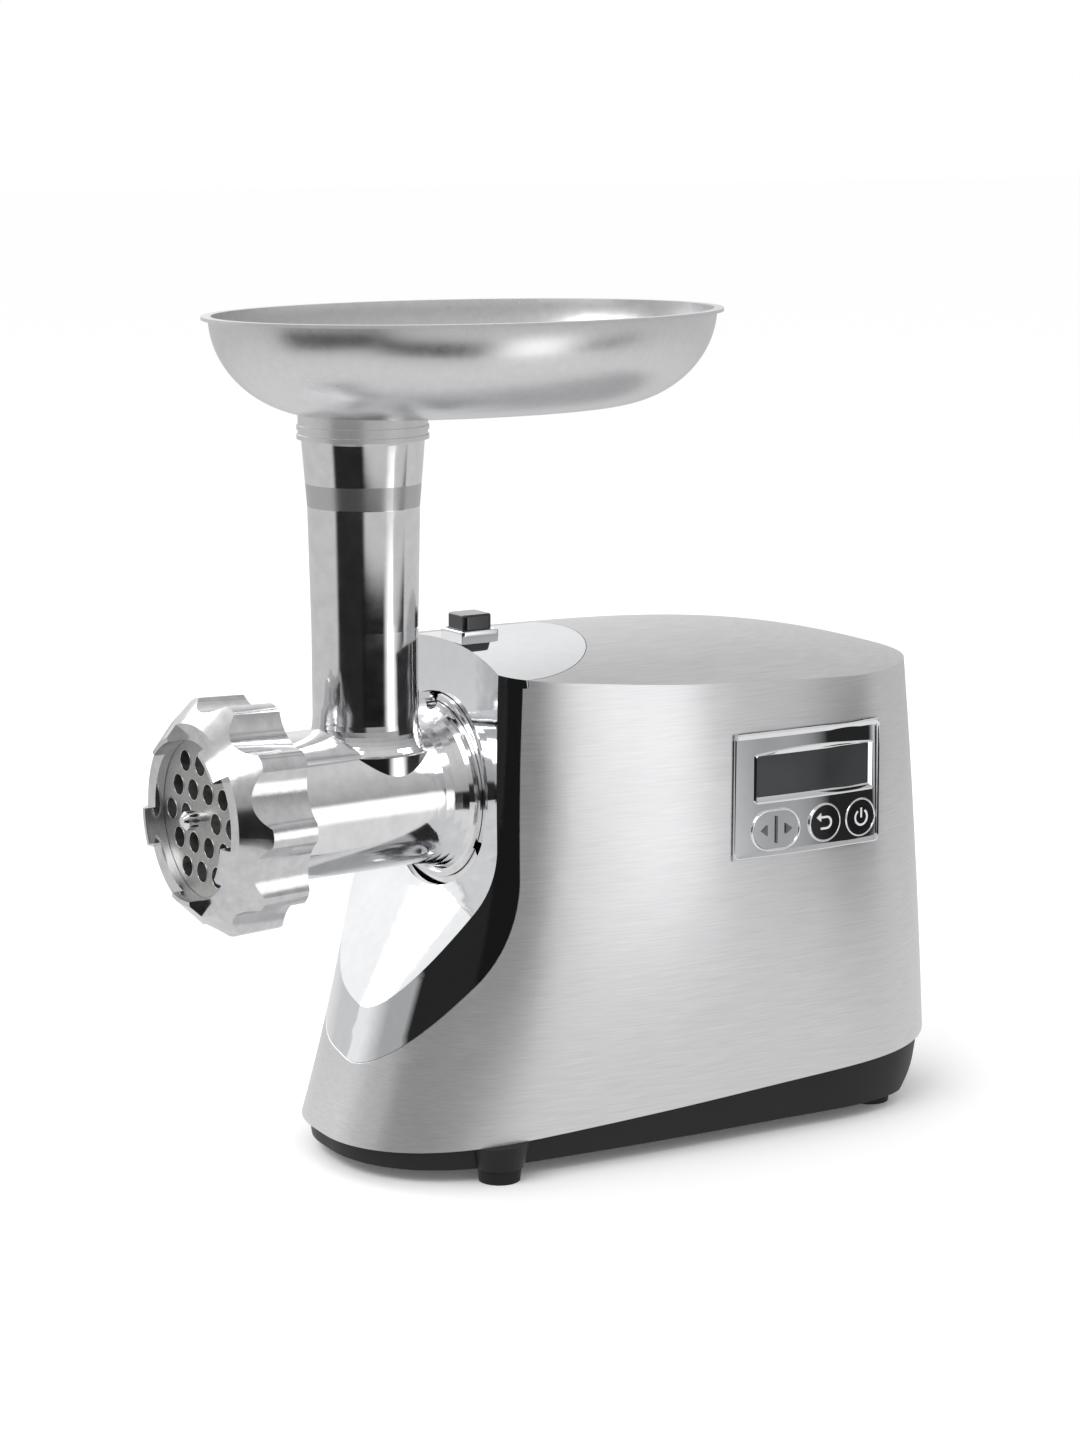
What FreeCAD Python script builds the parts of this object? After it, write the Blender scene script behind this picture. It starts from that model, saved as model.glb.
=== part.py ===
import FreeCAD, Part
import math
import os

os.makedirs("parts", exist_ok=True)
V = FreeCAD.Vector

# Frame: origin on the table under the middle of the machine's length, +Z up.
# The grinder head points to -Y, the control panel is on the +X side.
# Everything is in millimetres.

# Overall places
axis_z = 141.3            # height of the auger's axis
tube_y = -84.6            # feed tube's axis
flange_y = -55.9          # front face of the head's flange
nut_front_y = -162.4      # front of the ring nut's teeth

# Body skin: half outlines from nose to back at three heights, as (x, y)
wall = 1.8
level_low = 5.0
level_mid = 100.0
level_high = 208.0
outline_low = [(0, -107), (20, -104.5), (37, -95), (50.5, -77), (60, -38), (67.5, 34), (70.5, 75),
               (67.8, 126), (50, 149.5), (0, 163.8)]
outline_mid = [(0, -80), (21, -77.5), (38, -69.5), (50, -56), (59, -28), (67.2, 22), (69.8, 62),
               (66.2, 121), (49, 143.5), (0, 157)]
outline_high = [(0, -61), (28, -60.5), (51, -58.5), (57.5, -47), (62.5, -24), (67.4, 14), (69, 50),
                (64.5, 113), (50, 131), (0, 149)]
skirt_front_z = 12.5      # the skin's lower edge at the nose
skirt_nose_y = -104.6
skirt_rise = 0.06         # and how it climbs towards the back
# Domed top: place along Y, height on the middle line, fall at dome_half from it
dome_half = 70.0
dome_ribs = [(-125, 199.8, 14), (-12, 198.8, 17.5), (49, 197.2, 17), (115, 189.3, 10.6), (175, 172, 6)]

# Front shroud
seam = 0.25               # gap between skin and shroud
band_top_y = -50.5        # upright part of the band's rear edge
band_knee_z = 116.0
band_knee_r = 62.0
band_slope = 48.5         # degrees from the horizontal
scoop_top_y = -52.3       # upright part of the scoop at the middle
scoop_knee_z = 127.0
scoop_knee_r = 42.0
scoop_slope = 54.0
scoop_dish = 6.3          # how far the scoop's sides stand forward of its middle
scoop_dish_x = 53.0
plate_seam_y = 3.0        # rearmost point of the top plate
plate_half_x = 55.2
plate_edge_z = 187.0      # the top plate's rim ends above this
shroud_wall = 2.2

# Base pan and feet
pan_bottom_z = 5.5
pan_inset_low = 6.0
pan_inset_high = 1.1
pan_wall = 2.4
pan_heel_y = 128.0        # where the pan's rear slope starts
pan_lip = 6.0             # the pan's rim stands this far up inside the skin
pan_lip_t = 4.4
pan_lip_lap = 0.4         # the rim starts this far below the skin's edge
foot_x = 49.0
foot_front_y = -57.5
foot_rear_y = 121.5
foot_r = 8.4
foot_boss_r = 9.4
foot_boss_top_r = 12.5
foot_boss_z = 19.0
foot_peg_r = 3.2
foot_peg_len = 5.0

# Grinder head
bore_r = 25.2
barrel_r = 27.6
thread_r = 32.4
thread_len = 16.0
flange_r = 34.0
flange_t = 4.2
spigot_r = 30.0
spigot_len = 13.0
end_wall = 3.4            # closes the head's rear, around the bush
head_bush_t = 3.6
tube_r = 19.9
tube_wall = 2.3
tube_neck_z = 206.0       # the tube widens above this
tube_top_z = 281.0
tube_top_r = 22.7
tube_mid_z = 251.0
tube_mid_r = 20.8
saddle_r = 5.0            # flare where the tube meets the barrel
saddle_rise = 13.0

# Ring nut
lobe_count = 10
lobe_r = 44.6
valley_r = 39.6
lobe_flat = 4.5           # half angle of a lobe's crest
nut_len = 27.5
nut_taper = 1.1
lip_r = 35.3
lip_inner_r = 29.4
lip_t = 3.6
tooth_count = 5
tooth_h = 4.4
tooth_angle = 26.0
tooth_start = 50.0
lobe_front = 14.2         # from the teeth's front back to the lobes' front edge
thread_gap = 0.35

# Cutting set
plate_r = 30.8
plate_t = 5.2
hole_r = 4.0
hole_pitch = 11.4
knife_t = 8.0
knife_gap = 1.0           # knife tips to the bore
knife_hub_r = 10.5
knife_blades = 4
square_af = 9.0
pin_r = 3.4
pin_out = 6.5             # the auger's pin stands this far out of the plate
run_gap = 0.05            # running fit, radial
slip_gap = 0.3            # free clearance between moving bodies

# Auger
auger_root_front_r = 11.0
auger_root_rear_r = 8.5
flight_gap = 0.5
flight_t = 3.2
auger_pitch = 26.0
auger_turns = 3.0
washer_r = 22.0
washer_t = 3.0
tail_r = 9.0
hex_af = 13.0
tail_out = 1.5            # the auger's journal passes the head's rear by this
tail_len = 11.0
stud_r = 3.0
stud_len = 10.0

# Hopper tray
tray_y = -38.5
tray_rim_z = 320.8
tray_half_x = 74.4
tray_half_y = 105.2
tray_depth = 37.0
tray_curl = 43.0          # the wall turns inwards by this much at the floor
tray_t = 1.0
tray_lip = 2.6
tray_lip_t = 1.2
neck_r = 24.4
neck_bead = 0.5

# Bayonet ring
ring_r = 36.6
ring_step = 1.2           # the head's flange stands this far in front of the ring
ring_t = 10.5

# Release latch
button_y = -38.5
button_w = 12.6
button_h = 6.6
button_travel = 4.0
button_top_z = 207.2
stem_r = 3.0
latch_gap = 0.6           # latch tip above the bayonet ring when pressed
guide_wall = 3.0
guide_floor_z = 188.5
guide_bottom_z = 185.5

# Control panel, on the +X wall
panel_y0 = 35.5
panel_y1 = 105.0
panel_z0 = 114.0
panel_z1 = 162.8
panel_proud = 0.9
panel_depth = 2.6
window_y0 = 45.5
window_y1 = 99.8
window_z0 = 137.0
window_z1 = 154.2
window_sink = 0.5
window_t = 1.4
fit_gap = 0.12
rocker_y = 54.8
rocker_z = 124.4
rocker_len = 20.6
rocker_h = 14.6
return_y = 77.6
power_y = 95.2
round_z = 124.6
round_r = 6.7
key_gap = 0.35
key_len = 7.0
key_seat_x = 56.0         # face of the key board
board_t = 1.6
post_r = 1.6
post_in = 5.5

# Gear train
stage1_m = 0.8
stage1_small = 12
stage1_big = 60
stage2_m = 1.2
stage2_small = 12
stage2_big = 60
motor_x = -8.0
motor_z = 84.0
gear1_y = 8.0
gear1_w = 8.0
gear2_y = -13.0
gear2_w = 14.0
cup_r = 11.5              # drive cup on the output shaft
shaft_out_r = 8.0
shaft_mid_r = 4.0
shaft_motor_r = 4.0
case_front_y = -33.0
case_wall = 3.0
cover_t = 5.0
bush_t = 3.0

# Motor
stator_r = 40.0
stator_y0 = 41.0
stator_len = 34.0
armature_r = 22.0
air_gap = 0.6
coil_over = 8.0
commutator_r = 12.0
commutator_y = 85.5
commutator_len = 12.0
fan_t = 7.0
fan_r = 33.0
rear_bracket_y = 105.0
bracket_t = 5.0
tie_bolt_r = 2.2
tie_bolt_x = 36.5

# Electrics
gland_z = 46.0
gland_bore_r = 4.0
gland_body_r = 7.0
gland_flange_r = 9.5
screw_head_r = 3.4
screw_head_t = 2.0
screw_sink = 1.4
screw_x = 0.55            # screws stand at these shares of the feet's places
screw_y = 0.9


def export(name, shape):
    shape.exportStep("parts/" + name + ".step")
    print(name, round(shape.Volume, 1), len(shape.Solids), shape.isValid())


def cyl(radius, length, base, axis=V(0, 1, 0)):
    return Part.makeCylinder(radius, length, base, axis)


def tube(outer, inner, length, base, axis=V(0, 1, 0)):
    return cyl(outer, length, base, axis).cut(cyl(inner, length, base, axis))


def box(x0, x1, y0, y1, z0, z1):
    return Part.makeBox(x1 - x0, y1 - y0, z1 - z0, V(x0, y0, z0))


def fuse(shapes):
    result = shapes[0].fuse(shapes[1:]) if len(shapes) > 1 else shapes[0]
    return result.removeSplitter()


def lathe(profile, base, axis):
    # profile: closed loop of (radius, distance along the axis)
    side = V(1, 0, 0) if abs(axis.x) < 0.5 else V(0, 1, 0)
    points = [base + side * r + axis * h for r, h in profile]
    face = Part.Face(Part.makePolygon(points + points[:1]))
    return face.revolve(base, axis, 360)


# --- the machine's skin as a solid, shrunk by an inset ---

def outline_wire(half, z, inset):
    left = [(-x, y) for x, y in reversed(half[1:-1])]
    loop = [V(x, y, z) for x, y in list(half) + left]
    count = len(loop)
    moved = []
    for i in range(count):
        along = loop[(i + 1) % count] - loop[i - 1]
        inward = V(-along.y, along.x, 0).normalize()
        moved.append(loop[i] + inward * inset)
    curve = Part.BSplineCurve()
    curve.interpolate(Points=moved, PeriodicFlag=True)
    return Part.Wire(curve.toShape())


def dome_cutter(drop):
    wires = []
    for y, ridge, fall in dome_ribs:
        side_x = 120.0
        side_z = ridge - fall * (side_x / dome_half) ** 2
        left = V(-side_x, y, side_z - drop)
        right = V(side_x, y, side_z - drop)
        arc = Part.Arc(left, V(0, y, ridge - drop), right).toShape()
        lid = Part.makePolygon([right, V(side_x, y, 320), V(-side_x, y, 320), left])
        wires.append(Part.Wire([arc] + lid.Edges))
    return Part.makeLoft(wires, True, False)


def skin(inset, drop):
    wires = [outline_wire(outline_low, level_low, inset), outline_wire(outline_mid, level_mid, inset),
             outline_wire(outline_high, level_high, inset)]
    return Part.makeLoft(wires, True, False).cut(dome_cutter(drop))


def below_skirt(gap):
    # everything under the skin's climbing lower edge
    y0, y1 = -200.0, 260.0
    points = [V(-150, y0, -50), V(-150, y1, -50),
              V(-150, y1, skirt_front_z + skirt_rise * (y1 - skirt_nose_y) - gap),
              V(-150, y0, skirt_front_z + skirt_rise * (y0 - skirt_nose_y) - gap)]
    return Part.Face(Part.makePolygon(points + points[:1])).extrude(V(300, 0, 0))


def swept_front(x, top_y, knee_z, knee_r, slope):
    # region in front of an upright line, an arc and a sloping line, as a wire across X
    turn = math.radians(90 - slope)
    knee = V(x, top_y, knee_z)
    bend = V(x, top_y - knee_r * (1 - math.cos(turn)), knee_z - knee_r * math.sin(turn))
    half = V(x, top_y - knee_r * (1 - math.cos(turn / 2)), knee_z - knee_r * math.sin(turn / 2))
    run = 170.0
    foot = V(x, bend.y - run * math.sin(turn), bend.z - run * math.cos(turn))
    top = V(x, top_y, 260)
    arc = Part.Arc(knee, half, bend).toShape()
    rest = Part.makePolygon([bend, foot, V(x, -320, foot.z), V(x, -320, 260), top])
    upright = Part.makePolygon([top, knee])
    return Part.Wire(upright.Edges + [arc] + rest.Edges)


def band_region(grow):
    wire = swept_front(-150, band_top_y + grow, band_knee_z, band_knee_r, band_slope)
    front = Part.Face(wire).extrude(V(300, 0, 0))
    half_y = plate_seam_y - band_top_y
    ellipse = Part.Ellipse(V(0, band_top_y, plate_edge_z), half_y + grow, half_y + grow - 0.01).toShape()
    disc = Part.Face(Part.Wire(ellipse)).extrude(V(0, 0, 80))
    stretch = FreeCAD.Matrix()
    stretch.A11 = (plate_half_x + grow) / (half_y + grow)
    return front.fuse(disc.transformGeometry(stretch))


def scoop_region(grow):
    wires = []
    for x in (-1.8 * scoop_dish_x, -0.9 * scoop_dish_x, 0, 0.9 * scoop_dish_x, 1.8 * scoop_dish_x):
        dish = scoop_dish * (x / scoop_dish_x) ** 2
        wires.append(swept_front(x, scoop_top_y - dish + grow, scoop_knee_z, scoop_knee_r, scoop_slope))
    return Part.makeLoft(wires, True, False)


outer = skin(0, 0)
above_pan = outer.cut(below_skirt(0))
inner = skin(wall, wall)
centre = V(0, 0, axis_z)


def skin_layer(lift, sink):
    return skin(-lift, -lift).cut(skin(sink, sink))


def panel_block(y0, y1, z0, z1):
    return box(40, 100, y0, y1, z0, z1)


# --- casings ---

panel_hole = panel_block(panel_y0 + 2, panel_y1 - 2, panel_z0 + 2, panel_z1 - 2)
gland_hole = cyl(gland_body_r + fit_gap, 60, V(0, 120, gland_z))
shell = above_pan.cut(inner).cut(band_region(seam)).cut(panel_hole).cut(gland_hole)
export("body_shell", shell)

shroud_inner = skin(shroud_wall, shroud_wall)
hollow = scoop_region(0)
hollow_back = scoop_region(shroud_wall)
shroud = above_pan.common(band_region(0)).cut(hollow).cut(shroud_inner.cut(hollow_back))
shroud = shroud.cut(cyl(ring_r + slip_gap, 80, V(0, -110, axis_z)))
cap_half = button_w / 2 + slip_gap
guide_half = cap_half + guide_wall
guide = box(-guide_half, guide_half, button_y - guide_half, button_y + guide_half, guide_bottom_z, 230)
shroud = shroud.fuse(guide.common(shroud_inner))
shroud = shroud.cut(box(-cap_half, cap_half, button_y - cap_half, button_y + cap_half, guide_floor_z, 230))
shroud = shroud.cut(cyl(stem_r + slip_gap, 40, V(0, button_y, 180), V(0, 0, 1)))
export("front_shroud", shroud)

# Base pan: tapering tray that closes the skin's lower edge


def pan_solid(shrink):
    upper = outline_wire(outline_low, 40, pan_inset_high + shrink)
    lower = outline_wire(outline_low, pan_bottom_z, pan_inset_low + shrink)
    body = Part.makeLoft([lower, upper], True, True)
    heel_y = pan_heel_y - shrink
    heel = [V(-120, heel_y, pan_bottom_z - 20), V(-120, 230, pan_bottom_z - 20),
            V(-120, 230, 70), V(-120, heel_y + 52, 41), V(-120, heel_y, pan_bottom_z)]
    return body.cut(Part.Face(Part.makePolygon(heel + heel[:1])).extrude(V(240, 0, 0)))


pan = pan_solid(0).common(below_skirt(0)).cut(pan_solid(pan_wall).cut(
    box(-120, 120, -200, 250, -20, pan_bottom_z + pan_wall)))
lip_ring = skin(wall + slip_gap, 0).cut(skin(wall + slip_gap + pan_lip_t, -5))
pan = pan.fuse(lip_ring.common(below_skirt(-pan_lip)).cut(below_skirt(pan_lip_lap)))
foot_spots = [(x, y) for x in (-foot_x, foot_x) for y in (foot_front_y, foot_rear_y)]
for x, y in foot_spots:
    boss_len = foot_boss_z - pan_bottom_z
    boss = Part.makeCone(foot_boss_r, foot_boss_top_r, boss_len, V(x, y, pan_bottom_z))
    pan = pan.fuse(boss.common(below_skirt(0)))
for x, y in foot_spots:
    pan = pan.cut(cyl(foot_peg_r + fit_gap, foot_peg_len + fit_gap, V(x, y, pan_bottom_z), V(0, 0, 1)))
    screw_at = V(x * screw_x, y * screw_y, pan_bottom_z)
    pan = pan.cut(cyl(screw_head_r + fit_gap, screw_sink, screw_at, V(0, 0, 1)))
vent_count = 9
vent_pitch = 8.0
vent_w = 3.2
vent_half = 26.0
for i in range(vent_count):
    y = 20 + i * vent_pitch
    pan = pan.cut(box(-vent_half, vent_half, y, y + vent_w, 0, pan_bottom_z + pan_wall + 1))
pan_floor = pan_bottom_z + pan_wall

foot_names = {(-1, -1): "foot_front_left", (1, -1): "foot_front_right",
              (-1, 1): "foot_rear_left", (1, 1): "foot_rear_right"}
for x, y in foot_spots:
    pad = Part.makeCone(foot_r - 0.5, foot_r, pan_bottom_z, V(x, y, 0))
    peg = cyl(foot_peg_r, foot_peg_len, V(x, y, pan_bottom_z), V(0, 0, 1))
    export(foot_names[(1 if x > 0 else -1, 1 if y > 0 else -1)], pad.fuse(peg))

# --- bayonet ring and grinder head ---

flange_back = flange_y + flange_t
spigot_back = flange_back + spigot_len
plate_y = nut_front_y + tooth_h + lip_t
plate_back = plate_y + plate_t
barrel_end_y = plate_back
ring_front = flange_y + ring_step
ring = tube(ring_r, spigot_r + slip_gap, ring_t, V(0, ring_front, axis_z))
ring = ring.cut(cyl(flange_r + slip_gap, flange_back + slip_gap - ring_front, V(0, ring_front, axis_z)))
for i in range(3):
    angle = math.radians(120 * i)
    lug_at = V(ring_r * math.sin(angle), ring_front, axis_z + ring_r * math.cos(angle))
    ring = ring.cut(cyl(3.0, ring_t * 0.6, lug_at))
export("bayonet_ring", ring)

fillet = 9.0
steps = 6
curve_in = [(flange_r - fillet * 0.2 - (flange_r - barrel_r - fillet * 0.2) * math.sin(math.pi / 2 * i / steps),
             flange_y - fillet * 1.6 * (1 - math.cos(math.pi / 2 * i / steps))) for i in range(steps + 1)]
head_profile = [(0, barrel_end_y), (thread_r, barrel_end_y), (thread_r, barrel_end_y + thread_len),
                (barrel_r, barrel_end_y + thread_len + 3)]
head_profile += [(r, y) for r, y in reversed(curve_in)]
head_profile += [(flange_r, flange_y), (flange_r, flange_back), (spigot_r, flange_back),
                 (spigot_r, spigot_back), (0, spigot_back)]
barrel_bore = cyl(bore_r, spigot_back - end_wall - barrel_end_y + 30, V(0, barrel_end_y - 30, axis_z))
head_solid = lathe(head_profile, centre, V(0, 1, 0))
feed_profile = [(0, axis_z), (tube_r, axis_z), (tube_r, tube_neck_z), (tube_mid_r, tube_mid_z),
                (tube_top_r, tube_top_z - 6), (tube_top_r, tube_top_z), (0, tube_top_z)]
tube_base = V(0, tube_y, 0)
feed = lathe(feed_profile, tube_base, V(0, 0, 1))
saddle_z = axis_z + math.sqrt(barrel_r ** 2 - tube_r ** 2)
flare = []
flare_steps = 10
for i in range(flare_steps + 1):
    turn = math.pi / 2 * i / flare_steps
    flare.append((tube_r + saddle_r * (1 - math.sin(turn)), saddle_z + saddle_rise * (1 - math.cos(turn))))
saddle = lathe([(0, axis_z + 8)] + [(tube_r + saddle_r, axis_z + 8)] + flare + [(0, saddle_z + saddle_rise)],
               tube_base, V(0, 0, 1))
feed_hole_r = tube_r - tube_wall
head = head_solid.fuse([feed, saddle])
head = head.cut(barrel_bore)
head = head.cut(cyl(tail_r + head_bush_t, 30, V(0, spigot_back - 10, axis_z)))
head = head.cut(cyl(feed_hole_r, tube_top_z - axis_z + 1, V(0, tube_y, axis_z), V(0, 0, 1)))
notch = cyl(4.2, flange_t + 2, V(0, flange_y - 1, axis_z + flange_r + 0.6))
head = head.cut(notch)
key_w = 4.0
key_low = axis_z - thread_r - 1
key_slot = box(-key_w / 2, key_w / 2, barrel_end_y - 1, barrel_end_y + 3, key_low, axis_z - bore_r + 1)
head = head.cut(key_slot)
export("grinder_head", head)
bush_at = V(0, spigot_back - end_wall, axis_z)
export("head_bush", tube(tail_r + head_bush_t, tail_r + run_gap, end_wall, bush_at))

# --- cutting set ---

plate = cyl(plate_r, plate_t, V(0, plate_y, axis_z))
row_pitch = hole_pitch * math.sqrt(3) / 2
for row in range(-2, 3):
    for col in range(-3, 4):
        x = (col + 0.5 * (row % 2)) * hole_pitch
        z = row * row_pitch
        if 1 < math.hypot(x, z) < plate_r - hole_r - 2.5:
            plate = plate.cut(cyl(hole_r, plate_t + 2, V(x, plate_y - 1, axis_z + z)))
plate = plate.cut(cyl(pin_r + run_gap, plate_t + 2, V(0, plate_y - 1, axis_z)))
key_half = key_w / 2 - fit_gap
key = box(-key_half, key_half, plate_back - 1, plate_back + 2.6, axis_z - plate_r, axis_z - bore_r)
export("grinding_plate", plate.fuse(key))

knife_y = plate_back + slip_gap
knife = cyl(knife_hub_r, knife_t, V(0, knife_y, axis_z))
for i in range(knife_blades):
    blade = Part.makePolygon([V(-4.4, knife_y, axis_z + 4), V(4.4, knife_y, axis_z + 4),
                              V(2.2, knife_y, axis_z + bore_r), V(-4.4, knife_y, axis_z + bore_r),
                              V(-4.4, knife_y, axis_z + 4)])
    arm = Part.Face(blade).extrude(V(0, knife_t - 2.5, 0))
    arm.rotate(centre, V(0, 1, 0), 360.0 / knife_blades * i)
    knife = knife.fuse(arm)
knife = knife.common(cyl(bore_r - knife_gap, knife_t, V(0, knife_y, axis_z)))
square = box(-square_af / 2 - fit_gap, square_af / 2 + fit_gap, knife_y - 1, knife_y + knife_t + 1,
             axis_z - square_af / 2 - fit_gap, axis_z + square_af / 2 + fit_gap)
export("cutting_knife", knife.removeSplitter().cut(square))

# --- auger: core, flight, front pin and square, rear journal and hex tail ---

root_front_y = knife_y + knife_t + 0.4
washer_back_y = spigot_back - end_wall - slip_gap
washer_front_y = washer_back_y - washer_t
root_rear_y = washer_front_y
core_len = root_rear_y - root_front_y
core = Part.makeCone(auger_root_front_r, auger_root_rear_r, core_len, V(0, root_front_y, axis_z),
                     V(0, 1, 0))
flight_len = auger_pitch * auger_turns
flight_y0 = root_rear_y - 6 - flight_len
flight_r = bore_r - flight_gap
blades = []
slices = 24
for i in range(int(slices * auger_turns)):
    a0 = 2 * math.pi * i / slices
    a1 = 2 * math.pi * (i + 1.04) / slices
    wires = []
    for a in (a0, a1):
        y = flight_y0 + auger_pitch * a / (2 * math.pi)
        out = V(math.sin(a), 0, math.cos(a))
        low = centre + out * 6.0 + V(0, y, 0)
        high = centre + out * (flight_r + 1.5) + V(0, y, 0)
        low_back = low + V(0, flight_t + 1.6, 0)
        high_back = high + V(0, flight_t, 0)
        wires.append(Part.makePolygon([low, low_back, high_back, high, low]))
    blades.append(Part.makeLoft(wires, True, True))
flight = fuse(blades).common(cyl(flight_r, flight_len + 40, V(0, flight_y0 - 10, axis_z)))
square_front = box(-square_af / 2, square_af / 2, knife_y + 0.2, root_front_y + 2, axis_z - square_af / 2,
                   axis_z + square_af / 2)
pin_front = plate_y - pin_out
pin = cyl(pin_r, root_front_y - pin_front + 2, V(0, pin_front, axis_z))
pin = pin.fuse(Part.makeCone(pin_r * 0.55, pin_r, 1.4, V(0, pin_front - 1.4, axis_z), V(0, 1, 0)))
auger = core.fuse([flight, square_front, pin])
tail_front = spigot_back + tail_out
journal = cyl(tail_r, tail_front - root_rear_y + 1, V(0, root_rear_y - 1, axis_z))
stud_hole = cyl(stud_r, stud_len, V(0, tail_front - stud_len, axis_z))
export("auger", auger.fuse(journal).cut(stud_hole))
washer = tube(washer_r, tail_r + run_gap, washer_t, V(0, washer_front_y, axis_z))
export("thrust_washer", washer)


def hexagon(af, length, y):
    corner = af / math.sqrt(3)
    points = [V(corner * math.sin(math.radians(60 * i)), y, axis_z + corner * math.cos(math.radians(60 * i)))
              for i in range(6)]
    return Part.Face(Part.makePolygon(points + points[:1])).extrude(V(0, length, 0))


stud = cyl(stud_r, stud_len + 2, V(0, tail_front - stud_len, axis_z))
tail = hexagon(hex_af, tail_len, tail_front).fuse(stud)
export("drive_tail", tail)

# --- ring nut ---

def lobed_wire(y, shrink):
    edges = []
    step = 360.0 / lobe_count

    def at(angle, radius):
        a = math.radians(angle)
        return V((radius - shrink) * math.cos(a), y, axis_z + (radius - shrink) * math.sin(a))

    for i in range(lobe_count):
        mid = i * step
        a0 = mid - lobe_flat
        a1 = mid + lobe_flat
        edges.append(Part.Arc(at(a0, lobe_r - 0.4), at(mid, lobe_r), at(a1, lobe_r - 0.4)).toShape())
        edges.append(Part.Arc(at(a1, lobe_r - 0.4), at(mid + step / 2, valley_r),
                              at(mid + step - lobe_flat, lobe_r - 0.4)).toShape())
    return Part.Wire(edges)


nut_rear_y = nut_front_y + tooth_h + nut_len
lobes = Part.makeLoft([lobed_wire(nut_front_y, 0), lobed_wire(nut_rear_y, nut_taper)], True, True)
lip_y = nut_front_y + tooth_h
cone_y = nut_front_y + lobe_front
cone_run = cone_y - lip_y
cone_gain = lobe_r - lip_r
cone_start_r = lip_r - cone_gain * (lip_y - nut_front_y) / cone_run
cone = lathe([(0, nut_front_y), (cone_start_r, nut_front_y), (lobe_r + 2, cone_y + 2 * cone_run / cone_gain),
              (lobe_r + 2, nut_rear_y + 1), (0, nut_rear_y + 1)], centre, V(0, 1, 0))
nut = lobes.common(cone)
nut = nut.cut(cyl(lip_inner_r, nut_len + 20, V(0, nut_front_y - 5, axis_z)))
nut = nut.cut(cyl(plate_r + slip_gap, 40, V(0, plate_y - 0.15, axis_z)))
nut = nut.cut(cyl(thread_r + thread_gap, 40, V(0, barrel_end_y - 0.8, axis_z)))
gap_angle = 360.0 / tooth_count - tooth_angle
for i in range(tooth_count):
    start = tooth_start + 360.0 / tooth_count * i + tooth_angle / 2
    pocket = Part.makeCylinder(lip_r, tooth_h + 1, V(0, lip_y, axis_z), V(0, -1, 0), gap_angle)
    pocket = pocket.cut(cyl(lip_inner_r - 2, 20, V(0, nut_front_y - 5, axis_z)))
    first = pocket.Solids[0].CenterOfMass - centre
    want = math.radians(start + gap_angle / 2)
    now = math.atan2(first.z, first.x)
    pocket.rotate(centre, V(0, -1, 0), math.degrees(want - now))
    nut = nut.cut(pocket)
export("ring_nut", nut)

# --- hopper tray ---

def tray_section(depth, grow):
    # the pan's wall follows a quarter ellipse from the rim down to the floor
    share = min(depth / tray_depth, 0.9999)
    inward = tray_curl * (1 - math.sqrt(1 - share ** 2))
    a = tray_half_x - tray_lip - inward + grow
    b = tray_half_y - tray_lip - inward + grow
    oval = Part.Ellipse(V(0, 0, 0), b, a).toShape()
    oval.rotate(V(0, 0, 0), V(0, 0, 1), 90)
    oval.translate(V(0, tray_y, tray_rim_z - depth + min(grow, 0)))
    return Part.Wire(oval)


def tray_bowl(grow):
    depths = [tray_depth * share for share in (0, 0.3, 0.6, 0.82, 0.95, 1)]
    return Part.makeLoft([tray_section(d, grow) for d in depths], True, False)


bowl_out = tray_bowl(0)
bowl_in = tray_bowl(-tray_t)
bowl_in.translate(V(0, 0, 2 * tray_t))
lip_oval = Part.Face(tray_section(0, tray_lip)).extrude(V(0, 0, -tray_lip_t))
tray = bowl_out.fuse(lip_oval).cut(bowl_in)
neck_top = tray_rim_z - tray_depth + 8.0
neck_bottom = tube_top_z - 5.0
neck_bore = tube_top_r + slip_gap
neck = tube(neck_r - neck_bead, neck_bore, neck_top - neck_bottom, V(0, tube_y, neck_bottom), V(0, 0, 1))
for bead_z in (neck_bottom, neck_bottom + 3.4):
    neck = neck.fuse(tube(neck_r, neck_bore, 1.6, V(0, tube_y, bead_z), V(0, 0, 1)))
tray = tray.cut(cyl(feed_hole_r + 1.0, 60, V(0, tube_y, neck_bottom), V(0, 0, 1)))
tray = tray.fuse(neck.cut(bowl_in))
tray = tray.cut(cyl(neck_bore, tube_top_z + 0.2 - neck_bottom + 1, V(0, tube_y, neck_bottom - 1), V(0, 0, 1)))
export("hopper_tray", tray)

# --- release button, stem and spring ---

button_z0 = button_top_z - button_h
cap_half = button_w / 2
cap = box(-cap_half, cap_half, button_y - cap_half, button_y + cap_half, button_z0, button_top_z)
cap = cap.makeFillet(1.8, [e for e in cap.Edges if abs(e.Vertexes[0].Z - e.Vertexes[1].Z) > 1])
cap = cap.makeFillet(0.8, [e for e in cap.Edges if e.BoundBox.ZMin > button_top_z - 0.01])
export("release_button", cap)
latch_bottom = axis_z + ring_r + latch_gap + button_travel
stem = cyl(stem_r, button_z0 - latch_bottom, V(0, button_y, latch_bottom), V(0, 0, 1))
export("release_stem", stem)
spring_r = 4.6
spring_wire_r = 0.45
spring_turns = 6
spring_low = guide_floor_z + spring_wire_r
spring_step = (button_z0 - guide_floor_z - 2 * spring_wire_r) / (spring_turns - 1)
coils = [Part.makeTorus(spring_r, spring_wire_r, V(0, button_y, spring_low + spring_step * i), V(0, 0, 1))
         for i in range(spring_turns)]
export("release_spring", Part.makeCompound(coils))

# --- control panel: curved plates that follow the side wall ---

def wall_x(y, z):
    # the skin's surface on the +X side at one point
    ray = Part.makeLine(V(30, y, z), V(110, y, z))
    inside = ray.common(outer)
    return inside.BoundBox.XMax


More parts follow.
